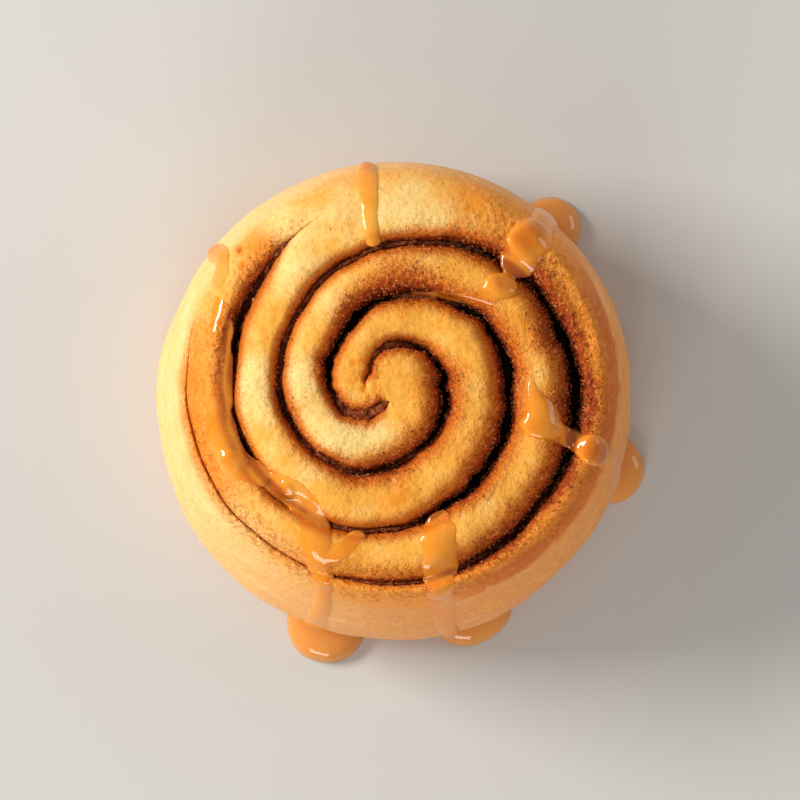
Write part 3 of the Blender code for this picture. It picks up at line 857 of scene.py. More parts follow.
def grooveDepth(places, tree, limit):
    # how far the dough lies below its crowns here, at most the limit
    depth = np.zeros(len(places))
    for i, (x, y, z) in enumerate(places):
        if z > roll["rimHeight"]:
            hit = tree.ray_cast(Vector((x, y, z + caramel["castAbove"])), Vector((0.0, 0.0, -1.0)))[0]
            depth[i] = limit if hit is None else min(max(z - hit.z, 0.0), limit)
    return depth


def evened(grid, times):
    for _ in range(times):
        grid = np.pad(grid, 1, mode="edge")
        beside = grid[:-2, 1:-1] + grid[2:, 1:-1] + grid[1:-1, :-2] + grid[1:-1, 2:]
        grid = (beside + 2 * grid[1:-1, 1:-1]) / 6.0
    return grid


def smoothPath(knots, stepLength):
    # a rounded line through the points, every column alike
    knots = np.array(knots, float)
    ends = np.vstack([2 * knots[0] - knots[1], knots, 2 * knots[-1] - knots[-2]])
    line = []
    for a, b, c, d in zip(ends, ends[1:], ends[2:], ends[3:]):
        count = max(2, int(np.linalg.norm((c - b)[:2]) / stepLength))
        bend = 2 * a - 5 * b + 4 * c - d
        twist = 3 * b - a - 3 * c + d
        for k in range(count):
            t = k / count
            line.append(0.5 * (2 * b + (c - a) * t + bend * t**2 + twist * t**3))
    line.append(knots[-1])
    return np.array(line)


def sheetOnSkin(flat, thickness, sag, tree):
    # flat: rows x columns x 2 of a closed strip's upper side, thickness alike
    rows, columns = thickness.shape
    place, out = skinAt(flat.reshape(-1, 2))
    depth = evened(grooveDepth(place, tree, sag).reshape(rows, columns), caramel["streamEvened"])
    inward = depth.reshape(-1)[:, None] * np.array((0.0, 0.0, -1.0))
    upper = place + inward + out * thickness.reshape(-1)[:, None]
    lower = place + inward - out * caramel["bury"]
    return upper, lower


def stripFaces(rows, count):
    # upper and lower strips of rows, joined round the edge
    faces = []
    shift = rows * count
    for i in range(rows - 1):
        for a in range(i * count, (i + 1) * count - 1):
            own = (a, a + count, a + count + 1, a + 1)
            faces.append(own)
            faces.append(tuple(corner + shift for corner in (own[0], own[3], own[2], own[1])))
        for a in (i * count, (i + 1) * count - 1):
            faces.append((a, a + count, a + count + shift, a + shift))
    for i in (0, rows - 1):
        for a in range(i * count, (i + 1) * count - 1):
            faces.append((a, a + 1, a + 1 + shift, a + shift))
    return faces


def streamMesh(knots, sag, tree, seed):
    line = smoothPath([[v * mm for v in knot] for knot in knots], caramel["stepLength"])
    centre, half, tall = line[:, :2], line[:, 2], line[:, 3]
    length = lengthAlong(centre)
    fromEnd = np.minimum(length, length[-1] - length) + caramel["endHalf"]
    taper = np.sqrt(np.clip(1.0 - (1.0 - np.clip(fromEnd / half, 0.0, 1.0)) ** 2, 0.0, 1.0))
    across = acrossOf(np.gradient(centre, axis=0))
    spots = np.column_stack([centre, 0.0 * half])
    size, height = caramel["banks"]
    banks = [1.0 + height * grain(spots, size * mm, seed + k) for k in (0, 1)]
    far = np.linalg.norm(centre - roll["lean"], axis=1)
    stretch = np.where(far > roll["rimRadius"], far / roll["outlineRadius"], 1.0)
    spread = np.linspace(-1.0, 1.0, caramel["columns"])
    flat = np.zeros((len(line), len(spread), 2))
    for k, share in enumerate(spread):
        bank = banks[0] if share < 0 else banks[1]
        flat[:, k] = centre + across * (share * half * taper * bank * stretch)[:, None]
    profile = np.clip(1.0 - np.abs(spread) ** 2.0, 0.0, 1.0) ** caramel["roundness"]
    size, height = caramel["uneven"]
    tall = tall * (1.0 + height * grain(spots, size * mm, seed + 2))
    atEnd = caramel["endThickness"]
    tapered = atEnd + (1.0 - atEnd) * taper[:, None]
    thickness = tall[:, None] * profile[None, :] * tapered - caramel["edgeSink"]
    upper, lower = sheetOnSkin(flat, thickness, sag, tree)
    return np.concatenate([upper, lower]), stripFaces(*thickness.shape)


def polarFaces(rings, spokes):
    # upper and lower discs of rings and spokes with a middle point each, joined round the edge
    faces = []
    shift = rings * spokes + 1
    for j in range(spokes):
        n = (j + 1) % spokes
        faces.append((0, 1 + j, 1 + n))
        faces.append((shift, shift + 1 + n, shift + 1 + j))
        for i in range(rings - 1):
            a, b = 1 + i * spokes + j, 1 + i * spokes + n
            faces.append((a, a + spokes, b + spokes, b))
            faces.append((a + shift, b + shift, b + spokes + shift, a + spokes + shift))
        a, b = (1 + (rings - 1) * spokes + k for k in (j, n))
        faces.append((a, a + shift, b + shift, b))
    return faces


def discPlaces(centre, radii, turn, seed, ragged):
    rings, spokes = caramel["rings"], caramel["spokes"]
    angle = np.arange(spokes) * math.tau / spokes
    ways = np.column_stack([np.cos(angle), np.sin(angle), 0.0 * angle + seed])
    edge = 1.0
    for k, (size, weight) in enumerate(caramel["edgeBumps"]):
        edge = edge + weight * ragged * grain(ways, size, seed + k)
    oval = np.stack([radii[0] * np.cos(angle), radii[1] * np.sin(angle)], axis=1)
    cosine, sine = math.cos(math.radians(turn)), math.sin(math.radians(turn))
    turning = np.array([[cosine, sine], [-sine, cosine]])
    flat, share = [np.array(centre)], [0.0]
    for i in range(1, rings + 1):
        part = (i / rings) ** caramel["ringSpacing"]
        local = oval * (part * edge)[:, None]
        flat.extend(np.array(centre) + local @ turning)
        share.extend([part] * spokes)
    return np.array(flat), np.array(share)


def dropMesh(spec, tree, seed):
    x, y, first, second, turn, tall, sag = spec
    radii = (first * mm, second * mm)
    flat, share = discPlaces((x * mm, y * mm), radii, turn, seed, caramel["dropRagged"])
    thickness = tall * mm * np.sqrt(np.clip(1.0 - share ** caramel["dropRoundness"], 0.0, 1.0))
    thickness -= caramel["edgeSink"]
    place, out = skinAt(flat)
    depth = grooveDepth(place, tree, sag * mm)
    rings, spokes = caramel["rings"], caramel["spokes"]
    inner = depth[1:].reshape(rings, spokes)
    around = evened(np.hstack([inner, inner, inner]), caramel["dropEvened"])
    depth[1:] = around[:, spokes:-spokes].reshape(-1)
    depth[0] = depth[1:1 + spokes].mean()
    sunk = np.outer(depth, (0.0, 0.0, 1.0))
    upper = place + out * thickness[:, None] - sunk
    lower = place - out * caramel["bury"] - sunk
    return np.concatenate([upper, lower]), polarFaces(rings, spokes)


# Pools that the sauce made at the roll's foot
pools = {
    # degrees round the roll, then in mm the distance, half width and half length
    "places": ((253, 54.2, 9.5, 8.6), (291, 52.4, 9.6, 7.2), (343.5, 54.0, 7.9, 7.0), (48.5, 55.6, 7.4, 7.6)),
    "height": 4.4 * mm,
    "edgeHeight": 0.05 * mm,
    "depth": 0.2 * mm,
    "roundness": 2.8,
    "ragged": 0.05,
}


def poolMesh(degrees, distance, across, outwards, seed):
    angle = math.radians(degrees)
    centre = (distance * mm * math.cos(angle), distance * mm * math.sin(angle))
    flat, share = discPlaces(centre, (outwards * mm, across * mm), degrees, seed, pools["ragged"])
    height = pools["height"] * np.sqrt(np.clip(1.0 - share ** pools["roundness"], 0.0, 1.0))
    height += pools["edgeHeight"]
    upper = np.column_stack([flat, height])
    lower = np.column_stack([flat, 0.0 * height - pools["depth"]])
    return np.concatenate([upper, lower]), polarFaces(caramel["rings"], caramel["spokes"])


def showThrough(made, places, under, tree):
    # how thick the sauce lies, how deep a groove is under it, and which crust shows through it
    count = len(places)
    thick, over = np.zeros(count), np.zeros(count)
    crust = {name: np.zeros(len(under.data.vertices), np.float32) for name in caramel["shownThrough"]}
    shown = {name: np.zeros(count) for name in crust}
    for name, values in crust.items():
        under.data.attributes[name].data.foreach_get("value", values)
    firstCorner = [p.vertices[0] for p in under.data.polygons]
    for i, p in enumerate(places):
        spot = Vector(p)
        near, out, face, gap = tree.find_nearest(spot)
        for name, values in crust.items():
            shown[name][i] = values[firstCorner[face]]
        thick[i] = gap if (spot - near).dot(out) > 0.0 else -gap
        if p[2] > caramel["topFrom"]:
            above = Vector((p[0], p[1], caramel["castFrom"]))
            hit = tree.ray_cast(above, Vector((0.0, 0.0, -1.0)))[0]
            over[i] = 0.0 if hit is None else p[2] - hit.z
    ends = np.zeros(len(made.data.edges) * 2, np.int64)
    made.data.edges.foreach_get("vertices", ends)
    links = np.bincount(ends, minlength=count)
    first, second = ends.reshape(-1, 2).T
    for step in range(caramel["blurStepsDeep"]):
        for values in (thick, over, *shown.values()) if step < caramel["blurSteps"] else (over,):
            total = np.bincount(first, values[second], count)
            total += np.bincount(second, values[first], count)
            values[:] = 0.5 * values + 0.5 * total / np.maximum(links, 1)
    for name, values in (*shown.items(), ("thick", thick / mm), ("over", over / mm)):
        paint(made, name, values)


def buildCaramel(under):
    tree = BVHTree.FromPolygons(
        [v.co for v in under.data.vertices], [tuple(p.vertices) for p in under.data.polygons]
    )
    parts = []
    for k, (sag, knots) in enumerate(caramel["streams"].values()):
        parts.append(streamMesh(knots, sag * mm, tree, 200 + 10 * k))
    for k, spec in enumerate(caramel["drops"]):
        parts.append(dropMesh(spec, tree, 400 + 10 * k))
    for k, spec in enumerate(pools["places"]):
        parts.append(poolMesh(*spec, 600 + 10 * k))
    made = addObject("caramel_drizzle", bpy.data.meshes.new("caramel_drizzle"))
    with edited(made.data) as shape:
        for points, faces in parts:
            own = [shape.verts.new(p) for p in points]
            new = [shape.faces.new([own[i] for i in face]) for face in faces]
            bmesh.ops.recalc_face_normals(shape, faces=new)
    melt = made.modifiers.new("melt together", "REMESH")
    melt.mode = "VOXEL"
    melt.voxel_size = caramel["voxel"]
    settle = made.modifiers.new("settle", "SMOOTH")
    settle.factor = 0.5
    settle.iterations = caramel["smoothSteps"]
    bakeModifiers(made)
    places = np.zeros(len(made.data.vertices) * 3)
    made.data.vertices.foreach_get("co", places)
    places = places.reshape(-1, 3)
    places[:, 2] = np.clip(places[:, 2], 0.0, None)
    made.data.vertices.foreach_set("co", places.reshape(-1))
    showThrough(made, places, under, tree)
    made.data.shade_smooth()
    return made


# Cinnamon crumbs along the grooves
crumbs = {
    "density": 0.9e6,
    "smallest": 0.14 * mm,
    "largest": 0.42 * mm,
    "seed": 7,
    "leastStain": 0.30,
    "leastRise": 0.05,
}


def plug(tree, node, values):
    # each input of the node, by name or number, is linked to another node's output or set to a value
    for key, value in values.items():
        value = getattr(value, "socket", value)
        if isinstance(value, bpy.types.NodeSocket):
            tree.links.new(value, node.inputs[key])
        else:
            node.inputs[key].default_value = value


def addNode(tree, kind, values, **settings):
    node = tree.nodes.new(kind)
    for key, value in settings.items():
        setattr(node, key, value)
    plug(tree, node, values)
    return node


def crumbTree(finish):
    tree = bpy.data.node_groups.new("scatter crumbs", "GeometryNodeTree")
    tree.interface.new_socket("Geometry", in_out="INPUT", socket_type="NodeSocketGeometry")
    for name in ("Density", "Smallest", "Largest"):
        tree.interface.new_socket(name, in_out="INPUT", socket_type="NodeSocketFloat")
    tree.interface.new_socket("Seed", in_out="INPUT", socket_type="NodeSocketInt")
    tree.interface.new_socket("Geometry", in_out="OUTPUT", socket_type="NodeSocketGeometry")
    given = addNode(tree, "NodeGroupInput", {}).outputs

    def randomVector(limits):
        values = {**limits, "Seed": given["Seed"]}
        return addNode(tree, "FunctionNodeRandomValue", values, data_type="FLOAT_VECTOR").outputs["Value"]

    stain = addNode(tree, "GeometryNodeInputNamedAttribute", {"Name": "stain"}, data_type="FLOAT")
    stain = Measure(tree, stain.outputs["Attribute"])
    scatter = addNode(tree, "GeometryNodeDistributePointsOnFaces", {
        "Mesh": given["Geometry"],
        "Density": stain * stain * given["Density"],
        "Seed": given["Seed"],
    })
    lump = addNode(tree, "GeometryNodeMeshIcoSphere", {"Radius": 1.0, "Subdivisions": 1})
    copies = addNode(tree, "GeometryNodeInstanceOnPoints", {
        "Points": scatter.outputs["Points"],
        "Instance": lump.outputs["Mesh"],
        "Rotation": randomVector({"Max": (math.tau, math.tau, math.tau)}),
        "Scale": randomVector({"Min": given["Smallest"], "Max": given["Largest"]}),
    })
    real = addNode(tree, "GeometryNodeRealizeInstances", {"Geometry": copies.outputs["Instances"]})
    look = {"Geometry": real.outputs["Geometry"], "Material": finish}
    dressed = addNode(tree, "GeometryNodeSetMaterial", look)
    addNode(tree, "NodeGroupOutput", {"Geometry": dressed.outputs["Geometry"]})
    return tree


def buildCrumbs(under, finish):
    # only the stained faces carry crumbs
    made = addObject("cinnamon_crumbs", under.data.copy())
    least, rise = crumbs["leastStain"], crumbs["leastRise"]
    with edited(made.data) as shape:
        stain = shape.verts.layers.float["stain"]
        bare = [f for f in shape.faces if f.normal.z < rise or min(v[stain] for v in f.verts) < least]
        bmesh.ops.delete(shape, geom=bare, context="FACES")
    made.data.materials.clear()
    scatter = made.modifiers.new("scatter crumbs", "NODES")
    scatter.node_group = crumbTree(finish)
    for item in scatter.node_group.interface.items_tree:
        if item.in_out == "INPUT" and item.name.lower() in crumbs:
            scatter[item.identifier] = crumbs[item.name.lower()]
    bakeModifiers(made)
    return made


# Materials
def colour(red, green, blue):
    # a colour as seen on screen, 0 to 255, in the shader's own scale
    values = [v / 255.0 for v in (red, green, blue)]
    return [v / 12.92 if v <= 0.04045 else ((v + 0.055) / 1.055) ** 2.4 for v in values] + [1.0]


def newMaterial(name, values):
    material = bpy.data.materials.new(name)
    material.use_nodes = True
    tree = material.node_tree
    shader = tree.nodes["Principled BSDF"]
    plug(tree, shader, values)
    return material, tree, shader


class Measure:
    # a number that varies over a surface: arithmetic with it adds nodes to its material
    def __init__(self, tree, socket):
        self.tree = tree
        self.socket = socket

    def combined(self, operation, other):
        node = addNode(self.tree, "ShaderNodeMath", {0: self, 1: other}, operation=operation)
        return Measure(self.tree, node.outputs[0])

    def __add__(self, other):
        return self.combined("ADD", other)

    def __sub__(self, other):
        return self.combined("SUBTRACT", other)

    def __mul__(self, other):
        return self.combined("MULTIPLY", other)

    def fit(self, low, high, toLow=0.0, toHigh=1.0):
        # eased from the first two values to the last two
        ends = {"Value": self, "From Min": low, "From Max": high, "To Min": toLow, "To Max": toHigh}
        node = addNode(self.tree, "ShaderNodeMapRange", ends, interpolation_type="SMOOTHSTEP")
        return Measure(self.tree, node.outputs["Result"])

    def blend(self, first, second):
        # the first colour where this is 0, the second where it is 1
        node = addNode(self.tree, "ShaderNodeMix", {"Factor": self, 6: first, 7: second}, data_type="RGBA")
        return node.outputs[2]


def placeIn(tree):
    return addNode(tree, "ShaderNodeTexCoord", {}).outputs["Object"]


def axesOf(tree, place):
    node = addNode(tree, "ShaderNodeSeparateXYZ", {0: place})
    return [Measure(tree, axis) for axis in node.outputs]


def attributeOf(tree, name):
    return Measure(tree, addNode(tree, "ShaderNodeAttribute", {}, attribute_name=name).outputs["Fac"])


def clouds(tree, place, sizeMm, detail=3.0, roughness=0.55, distortion=0.0):
    shape = {"Scale": 1000.0 / sizeMm, "Detail": detail, "Roughness": roughness, "Distortion": distortion}
    return Measure(tree, addNode(tree, "ShaderNodeTexNoise", {"Vector": place, **shape}).outputs["Fac"])


def cellsOf(tree, place, sizeMm, values, **settings):
    values = {"Vector": place, "Scale": 1000.0 / sizeMm, **values}
    return addNode(tree, "ShaderNodeTexVoronoi", values, **settings).outputs


def layered(body, look, *layers):
    # the look's colours over the body's, each where its measure is within the limits beside it
    for measure, name in layers:
        body = measure.fit(*look[name + "From"]).blend(body, look[name])
    return body


def bumpFrom(tree, height, strength, distance):
    values = {"Height": height, "Strength": strength, "Distance": distance}
    return addNode(tree, "ShaderNodeBump", values).outputs["Normal"]


doughLook = {
    "pale": colour(255, 219, 138),
    "cream": colour(255, 222, 160),
    "gold": colour(251, 178, 72),
    "deepGold": colour(244, 154, 46),
    "baked": colour(240, 136, 26),
    "sideLit": colour(254, 202, 132),
    "sideShaded": colour(236, 156, 86),
    "crumb": colour(255, 190, 96),
    "shoulder": colour(212, 110, 26),
    "lip": colour(255, 158, 62),
    "toastedAndShaded": colour(200, 92, 18),
    "stain": colour(176, 72, 18),
    "stainDark": colour(94, 28, 10),
    "sugar": colour(250, 184, 110),
    "grooveShade": colour(50, 12, 5),
    # the noises' size in mm, detail and roughness
    "noises": {
        "patch": (20.0, 2.0, 0.55),
        "mottle": (5.0, 3.0, 0.55),
        "crumb": (1.2, 3.0, 0.6),
        "grit": (0.5, 2.0, 0.6),
        "layers": (9.0, 4.0, 0.6),
    },
    "layersFlattened": (1.0, 1.0, 2.6),
    "wobble": 0.05,
    "footWobble": 0.012,
    # powder grains: size in mm, then the powder at which they begin and abound, and their share there
    "grains": ((0.62, (0.10, 0.6, 0.002, 0.60)), (0.95, (0.14, 0.6, 0.002, 0.40))),
    "grainShare": 0.42,
    "shader": {
        "Specular IOR Level": 0.14,
        "Subsurface Weight": 0.08,
        "Subsurface Radius": (1.0, 0.5, 0.2),
        "Subsurface Scale": 0.002,
    },
    "cellSize": 1.9,
    "bump": (0.9, 0.0014),
}
# where each layer of the crust's colour comes in: its measure at both ends, then the colour's share there
crustEnds = {
    "pale": (0.56, 1.06),
    "deepGold": (0.56, 0.36, 0.0, 0.8),
    "bakedRim": (0.74, 0.96),
    "bakedPatch": (0.30, 0.62, 0.4, 1.0),
    "bakedPale": (0.1, 0.9, 0.8, 0.1),
    "sideShading": (-0.055, 0.035),
    "layerGold": (0.50, 0.72, 0.0, 0.45),
    "layerCream": (0.48, 0.30, 0.0, 0.25),
    "foot": (0.006, 0.0005, 0.0, 0.75),
    "lipRim": (0.88, 0.96),
    "lipAwayFromLight": (-0.010, 0.025, 0.0, 0.85),
    "ringRim": (0.950, 0.985),
    "ringAwayFromLight": (0.020, 0.042, 0.0, 0.85),
    "sharpEnd": (1.022, 1.048),
    "gentleEnd": (0.975, 1.05),
    "crumblyRim": (0.80, 0.93),
    "crumblyPatch": (0.35, 0.65, 0.1, 0.5),
    "crumblyAwayFromLight": (-0.015, 0.015, 0.3, 1.0),
    "crumblyTop": (1.07, 1.0),
    "creviceShade": (0.52, 0.36),
    "creviceShadeCrust": (0.1, 0.6, 0.18, 0.65),
    "raisedHighlight": (0.52, 0.66),
    "raisedHighlightCrust": (0.1, 0.6, 0.18, 0.45),
    "browned": (0.05, 1.05, 0.0, 0.9),
    "brownest": (0.95, 1.4, 0.0, 0.9),
    "shoulder": (0.24, 0.62, 0.0, 0.95),
    "shoulderRim": (0.84, 0.92, 1.0, 0.25),
    "stain": (0.44, 0.68),
    "stainDark": (0.68, 0.96),
    "powderRim": (1.02, 0.88, 0.0, 1.0),
    "grainEdge": (0.50, 0.34),
    "grainTone": (0.2, 0.8),
    "grainSugar": (0.84, 0.86),
    "grooveShade": (3.8, 8.5),
    "wetPatch": (0.38, 0.56, 0.3, 1.0),
    "wet": (0.1, 0.8),
    "dry": (0.3, 0.7, 0.38, 0.56),
    "lumps": (0.12, 0.65, 0.26, 1.0),
}


def crustFields(tree, place):
    # the painted attributes, the noises and the heat that the crust's colour and relief are made from
    fields = {name: attributeOf(tree, name) for name in caramel["shownThrough"]}
    for name in ("patch", "mottle", "crumb", "grit"):
        fields[name] = clouds(tree, place, *doughLook["noises"][name])
    crust = SimpleNamespace(**fields)
    x, y, crust.z = axesOf(tree, place)
    # how far a place lies towards the right and the front, the side turned away from the key light
    crust.hot = x - y * 0.35
    # how crumbly it is: beside the grooves and in patches along the rim, but not on the side
    alongRim = crust.rimShare.fit(*crustEnds["crumblyRim"]) * crust.mottle.fit(*crustEnds["crumblyPatch"])
    alongRim = alongRim * crust.hot.fit(*crustEnds["crumblyAwayFromLight"])
    crust.crumbly = (crust.warm + alongRim) * crust.rimShare.fit(*crustEnds["crumblyTop"])
    return crust


def grainSpots(tree, place, grit, sizeMm, density):
    # separate round grains, as many as the density asks for, and a random number for each
    cells = cellsOf(tree, place, sizeMm, {})
    chance = addNode(tree, "ShaderNodeSeparateColor", {0: cells["Color"]}).outputs
    here = Measure(tree, chance[0]).combined("LESS_THAN", density)
    far = Measure(tree, cells["Distance"]) + (grit - 0.5) * 0.9
    return here * far.fit(*crustEnds["grainEdge"]), Measure(tree, chance[1])


def sideColour(tree, place, crust, hotShare):
    look, ends = doughLook, crustEnds
    flatten = addNode(tree, "ShaderNodeMapping", {"Vector": place, "Scale": look["layersFlattened"]})
    layers = clouds(tree, flatten.outputs["Vector"], *look["noises"]["layers"])
    # painted light and shade: the side is lighter towards the key light on the left and darker away from it
    # on the right
    side = hotShare.blend(look["sideLit"], look["sideShaded"])
    side = layers.fit(*ends["layerGold"]).blend(side, look["gold"])
    side = layers.fit(*ends["layerCream"]).blend(side, look["cream"])
    foot = crust.z + (layers - 0.5) * look["footWobble"]
    return foot.fit(*ends["foot"]).blend(side, look["baked"])


def bakedColour(tree, place, crust):
    look, ends = doughLook, crustEnds
    hotShare = crust.hot.fit(*ends["sideShading"])
    mixed = crust.mottle * 0.6 + crust.patch * 0.5 + crust.palest * 0.5
    edge = crust.rimShare + (crust.mottle - 0.5) * look["wobble"]
    baked = crust.rimShare.fit(*ends["bakedRim"]) * crust.patch.fit(*ends["bakedPatch"])
    baked = baked * crust.palest.fit(*ends["bakedPale"])
    # the last turn is orange at the rim, with painted light that lightens it on the right, where it lies
    # turned from the key light; its outer edge is darkest at the right, partly toasting and partly painted
    # shade
    lip = edge.fit(*ends["lipRim"]) * crust.hot.fit(*ends["lipAwayFromLight"])
    ring = edge.fit(*ends["ringRim"]) * crust.hot.fit(*ends["ringAwayFromLight"])
    # the crust ends sharply at the right and the front, and softly at the left
    bothEnds = {"Factor": hotShare, 2: edge.fit(*ends["gentleEnd"]), 3: edge.fit(*ends["sharpEnd"])}
    pastRim = Measure(tree, addNode(tree, "ShaderNodeMix", bothEnds).outputs[0])
    # painted shade and highlight on the crumb relief: darker in the hollows between the crumbs and lighter on
    # their tops; and even the smooth crowns vary a little
    creviceShade = crust.crumb.fit(*ends["creviceShade"]) * crust.crumbly.fit(*ends["creviceShadeCrust"])
    raisedHighlight = crust.crumb.fit(*ends["raisedHighlight"]) * crust.crumbly.fit(*ends["raisedHighlightCrust"])
    rough = (crust.crumb - 0.5) * 0.9 + (crust.grit - 0.5) * 0.25
    browned = crust.browned * (rough + 0.75)
    shoulder = (crust.warm + rough * 0.45).fit(*ends["shoulder"]) * crust.rimShare.fit(*ends["shoulderRim"])
    ragged = crust.stain + rough

    body = mixed.fit(*ends["pale"]).blend(look["gold"], look["pale"])
    for share, over in (
        (mixed.fit(*ends["deepGold"]), look["deepGold"]),
        (baked, look["baked"]),
        (lip, look["lip"]),
        (ring, look["toastedAndShaded"]),
        (pastRim, sideColour(tree, place, crust, hotShare)),
        (creviceShade, look["shoulder"]),
        (raisedHighlight, look["crumb"]),
        (browned.fit(*ends["browned"]), look["baked"]),
        (browned.fit(*ends["brownest"]), look["stain"]),
        (shoulder, look["shoulder"]),
        (ragged.fit(*ends["stain"]), look["stain"]),
        (ragged.fit(*ends["stainDark"]), look["stainDark"]),
    ):
        body = share.blend(body, over)
    powder = (crust.stain + crust.browned * 0.25) * crust.rimShare.fit(*ends["powderRim"])
    for sizeMm, abound in look["grains"]:
        spot, tone = grainSpots(tree, place, crust.grit, sizeMm, powder.fit(*abound))
        tint = tone.fit(*ends["grainTone"]).blend(look["stainDark"], look["stain"])
        tint = tone.fit(*ends["grainSugar"]).blend(tint, look["sugar"])
        body = (spot * look["grainShare"]).blend(body, tint)
    # painted shade: deep down in the grooves the colour goes nearly black
    return crust.depth.fit(*ends["grooveShade"]).blend(body, look["grooveShade"])


def doughMaterial():
    look, ends = doughLook, crustEnds
    material, tree, shader = newMaterial("golden baked dough", look["shader"])
    place = placeIn(tree)
    crust = crustFields(tree, place)
    wet = attributeOf(tree, "glazed") * crust.mottle.fit(*ends["wetPatch"])
    cells = cellsOf(tree, place, look["cellSize"], {"Smoothness": 0.6}, feature="SMOOTH_F1")
    lumps = crust.crumb * 0.9 + crust.grit * 0.25 - Measure(tree, cells["Distance"]) * 0.45
    plug(tree, shader, {
        "Base Color": bakedColour(tree, place, crust),
        "Roughness": crust.mottle.fit(*ends["dry"]) + wet.fit(*ends["wet"]) * -0.30,
        "Normal": bumpFrom(tree, lumps * crust.crumbly.fit(*ends["lumps"]), *look["bump"]),
    })
    return material


fillingLook = {
    "light": colour(190, 94, 46),
    "dark": colour(98, 28, 10),
    "sugar": colour(232, 164, 112),
    # painted shade: deep in a groove the paste goes nearly black
    "deep": colour(40, 10, 5),
    "lumps": (1.6, 4.0, 0.65),
    "grit": (0.45, 2.0, 0.7),
    "lightFrom": (0.36, 0.64),
    "sugarFrom": (0.58, 0.72),
    "deepFrom": (1.6, 6.0),
    "moist": (0.3, 0.7, 0.30, 0.65),
    "dull": (2.0, 6.0, 0.0, 0.35),
    "bump": (0.9, 0.0012),
}


def fillingMaterial():
    look = fillingLook
    material, tree, shader = newMaterial("cinnamon sugar paste", {"Specular IOR Level": 0.2})
    place = placeIn(tree)
    lumps = clouds(tree, place, *look["lumps"])
    grit = clouds(tree, place, *look["grit"])
    depth = attributeOf(tree, "depth")
    # the paste darkens to nearly black with depth: painted shade
    plug(tree, shader, {
        "Base Color": layered(look["dark"], look, (lumps, "light"), (grit, "sugar"), (depth, "deep")),
        "Roughness": grit.fit(*look["moist"]) + depth.fit(*look["dull"]),
        "Normal": bumpFrom(tree, lumps + grit * 0.6, *look["bump"]),
    })
    return material


crumbLook = {
    "dark": colour(112, 44, 16),
    "warm": colour(184, 92, 34),
    "light": colour(226, 146, 76),
    "warmFrom": (0.38, 0.52),
    "lightFrom": (0.54, 0.62),
    "shader": {"Roughness": 0.6, "Specular IOR Level": 0.2},
    "bump": (0.3, 0.0002),
}


def crumbMaterial():
    look = crumbLook
    material, tree, shader = newMaterial("cinnamon sugar crumbs", look["shader"])
    place = placeIn(tree)
    tone = clouds(tree, place, 0.5, 1.0)
    both = tone * 0.6 + clouds(tree, place, 2.4, 2.0) * 0.4
    plug(tree, shader, {
        "Base Color": layered(look["dark"], look, (both, "warm"), (both, "light")),
        "Normal": bumpFrom(tree, tone, *look["bump"]),
    })
    return material


caramelLook = {
    "tint": colour(255, 222, 156),
    "thin": colour(242, 152, 44),
    "body": colour(218, 118, 22),
    "pale": colour(244, 168, 72),
    # over a groove the sauce turns dark brown: partly the thicker sauce there, partly painted shade of the
    # groove beneath
    "deep": colour(156, 70, 14),
    "pool": colour(226, 150, 72),
    "streaks": (5.0, 2.0, 0.5, 0.6),
    "thinFrom": (0.10, 0.80, 0.15, 0.9),
    "bodyFrom": (0.5, 1.6),
    "paleFrom": (0.45, 0.75, 0.0, 0.4),
    "deepFrom": (0.8, 6.0, 0.0, 0.85),
    "poolFrom": (0.014, 0.004, 0.0, 0.9),
    "shader": {
        "Roughness": 0.09,
        "IOR": 1.46,
        "Subsurface Weight": 0.15,
        "Subsurface Radius": (1.0, 0.45, 0.12),
        "Subsurface Scale": 0.004,
    },
    "bump": (0.10, 0.001),
}


def caramelMaterial():
    look = caramelLook
    material, tree, shader = newMaterial("glossy caramel sauce", look["shader"])
    place = placeIn(tree)
    crust = crustFields(tree, place)
    streaks = clouds(tree, place, *look["streaks"])
    thick, over = attributeOf(tree, "thick"), attributeOf(tree, "over")
    # the crust shows through where the sauce is thin
    tinting = {"Factor": 1.0, 6: bakedColour(tree, place, crust), 7: look["tint"]}
    tinted = addNode(tree, "ShaderNodeMix", tinting, data_type="RGBA", blend_type="MULTIPLY").outputs[2]
    # over a groove the sauce darkens: partly thicker sauce, partly painted shade of the groove beneath
    layers = (thick, "thin"), (thick, "body"), (streaks, "pale"), (over, "deep"), (crust.z, "pool")
    plug(tree, shader, {
        "Base Color": layered(tinted, look, *layers),
        "Normal": bumpFrom(tree, streaks, *look["bump"]),
    })
    return material


# Camera straight above, where the photo was taken from, and a soft studio
studio = {
    "cameraPlace": (1.62 * mm, 1.16 * mm, 2.0),
    "seenWidth": 184.9 * mm,
    "seenHeight": 30.0 * mm,
    "sensor": 36.0,
    "floorColour": colour(205, 203, 199),
    "worldColour": (1.0, 0.99, 0.97, 1.0),
    "worldStrength": 0.33,
    "floorHalf": 3.0,
    # place, size, power and tint
    "softboxes": {
        "key": ((-0.98, 0.36, 0.62), (0.60, 0.22), 16.0, (1.0, 0.975, 0.94)),
        "fill": ((-0.25, -1.00, 0.48), (0.6, 0.3), 4.6, (1.0, 0.98, 0.95)),
        "side": ((1.05, 0.30, 0.45), (0.5, 0.5), 2.4, (1.0, 0.96, 0.90)),
    },
    "aim": (0.0, 0.0, 0.03),
}


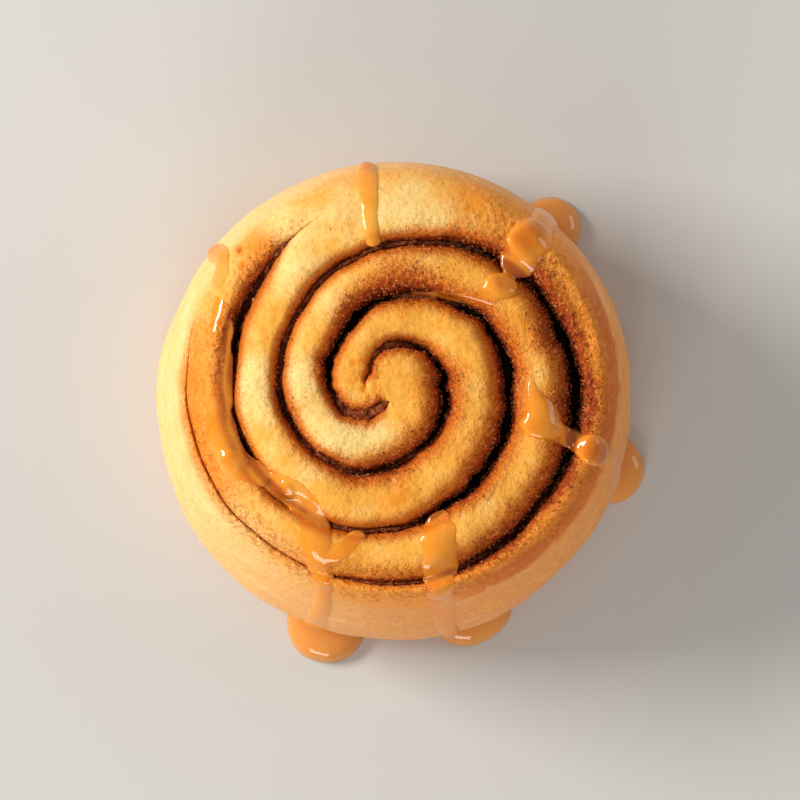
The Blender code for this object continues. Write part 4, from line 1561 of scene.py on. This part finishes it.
def buildStudio():
    scene = bpy.context.scene
    data = bpy.data.cameras.new("photo camera")
    scene.camera = addObject("photo camera", data)
    scene.camera.location = studio["cameraPlace"]
    data.sensor_width = studio["sensor"]
    reach = studio["cameraPlace"][2] - studio["seenHeight"]
    data.lens = studio["sensor"] * reach / studio["seenWidth"]
    data.clip_start = 0.05
    data.clip_end = 20.0
    scene.view_settings.view_transform = "Standard"
    for name, (place, size, power, tint) in studio["softboxes"].items():
        lamp = bpy.data.lights.new(name + " softbox", "AREA")
        lamp.shape = "RECTANGLE"
        lamp.size, lamp.size_y = size
        lamp.energy = power
        lamp.color = tint
        made = addObject(name + " softbox", lamp)
        made.location = place
        aim = Vector(studio["aim"]) - Vector(place)
        made.rotation_euler = aim.to_track_quat("-Z", "Y").to_euler()
    world = bpy.data.worlds.new("pale studio")
    world.use_nodes = True
    light = {"Color": studio["worldColour"], "Strength": studio["worldStrength"]}
    plug(world.node_tree, world.node_tree.nodes["Background"], light)
    scene.world = world
    half = studio["floorHalf"]
    corners = [(-half, -half, 0.0), (half, -half, 0.0), (half, half, 0.0), (-half, half, 0.0)]
    floor = meshObject("studio_floor", corners, [(0, 1, 2, 3)])
    look = {"Base Color": studio["floorColour"], "Roughness": 0.7}
    floor.data.materials.append(newMaterial("pale studio floor", look)[0])


print("scene: dough")
dough = buildDough()
dough.data.materials.append(doughMaterial())
print("scene: dough has", len(dough.data.polygons), "faces")

print("scene: filling")
paste = fillingMaterial()
fillingA = buildFilling("cinnamon_paste_a", grooveA, 21)
fillingB = buildFilling("cinnamon_paste_b", grooveB, 22)
for piece in (fillingA, fillingB):
    piece.data.materials.append(paste)

print("scene: crumbs")
grains = buildCrumbs(dough, crumbMaterial())
print("scene: crumbs have", len(grains.data.polygons), "faces")

print("scene: caramel")
sauce = buildCaramel(dough)
sauce.data.materials.append(caramelMaterial())
print("scene: caramel has", len(sauce.data.polygons), "faces")

print("scene: studio")
buildStudio()

for piece, node, slot in (
    (dough, "dough", "dough"),
    (sauce, "dough", "caramel"),
    (fillingA, "cinnamon_filling_a", "cinnamon"),
    (fillingB, "cinnamon_filling_b", "cinnamon"),
):
    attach(piece, "root")
    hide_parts(node)
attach(grains, "root")
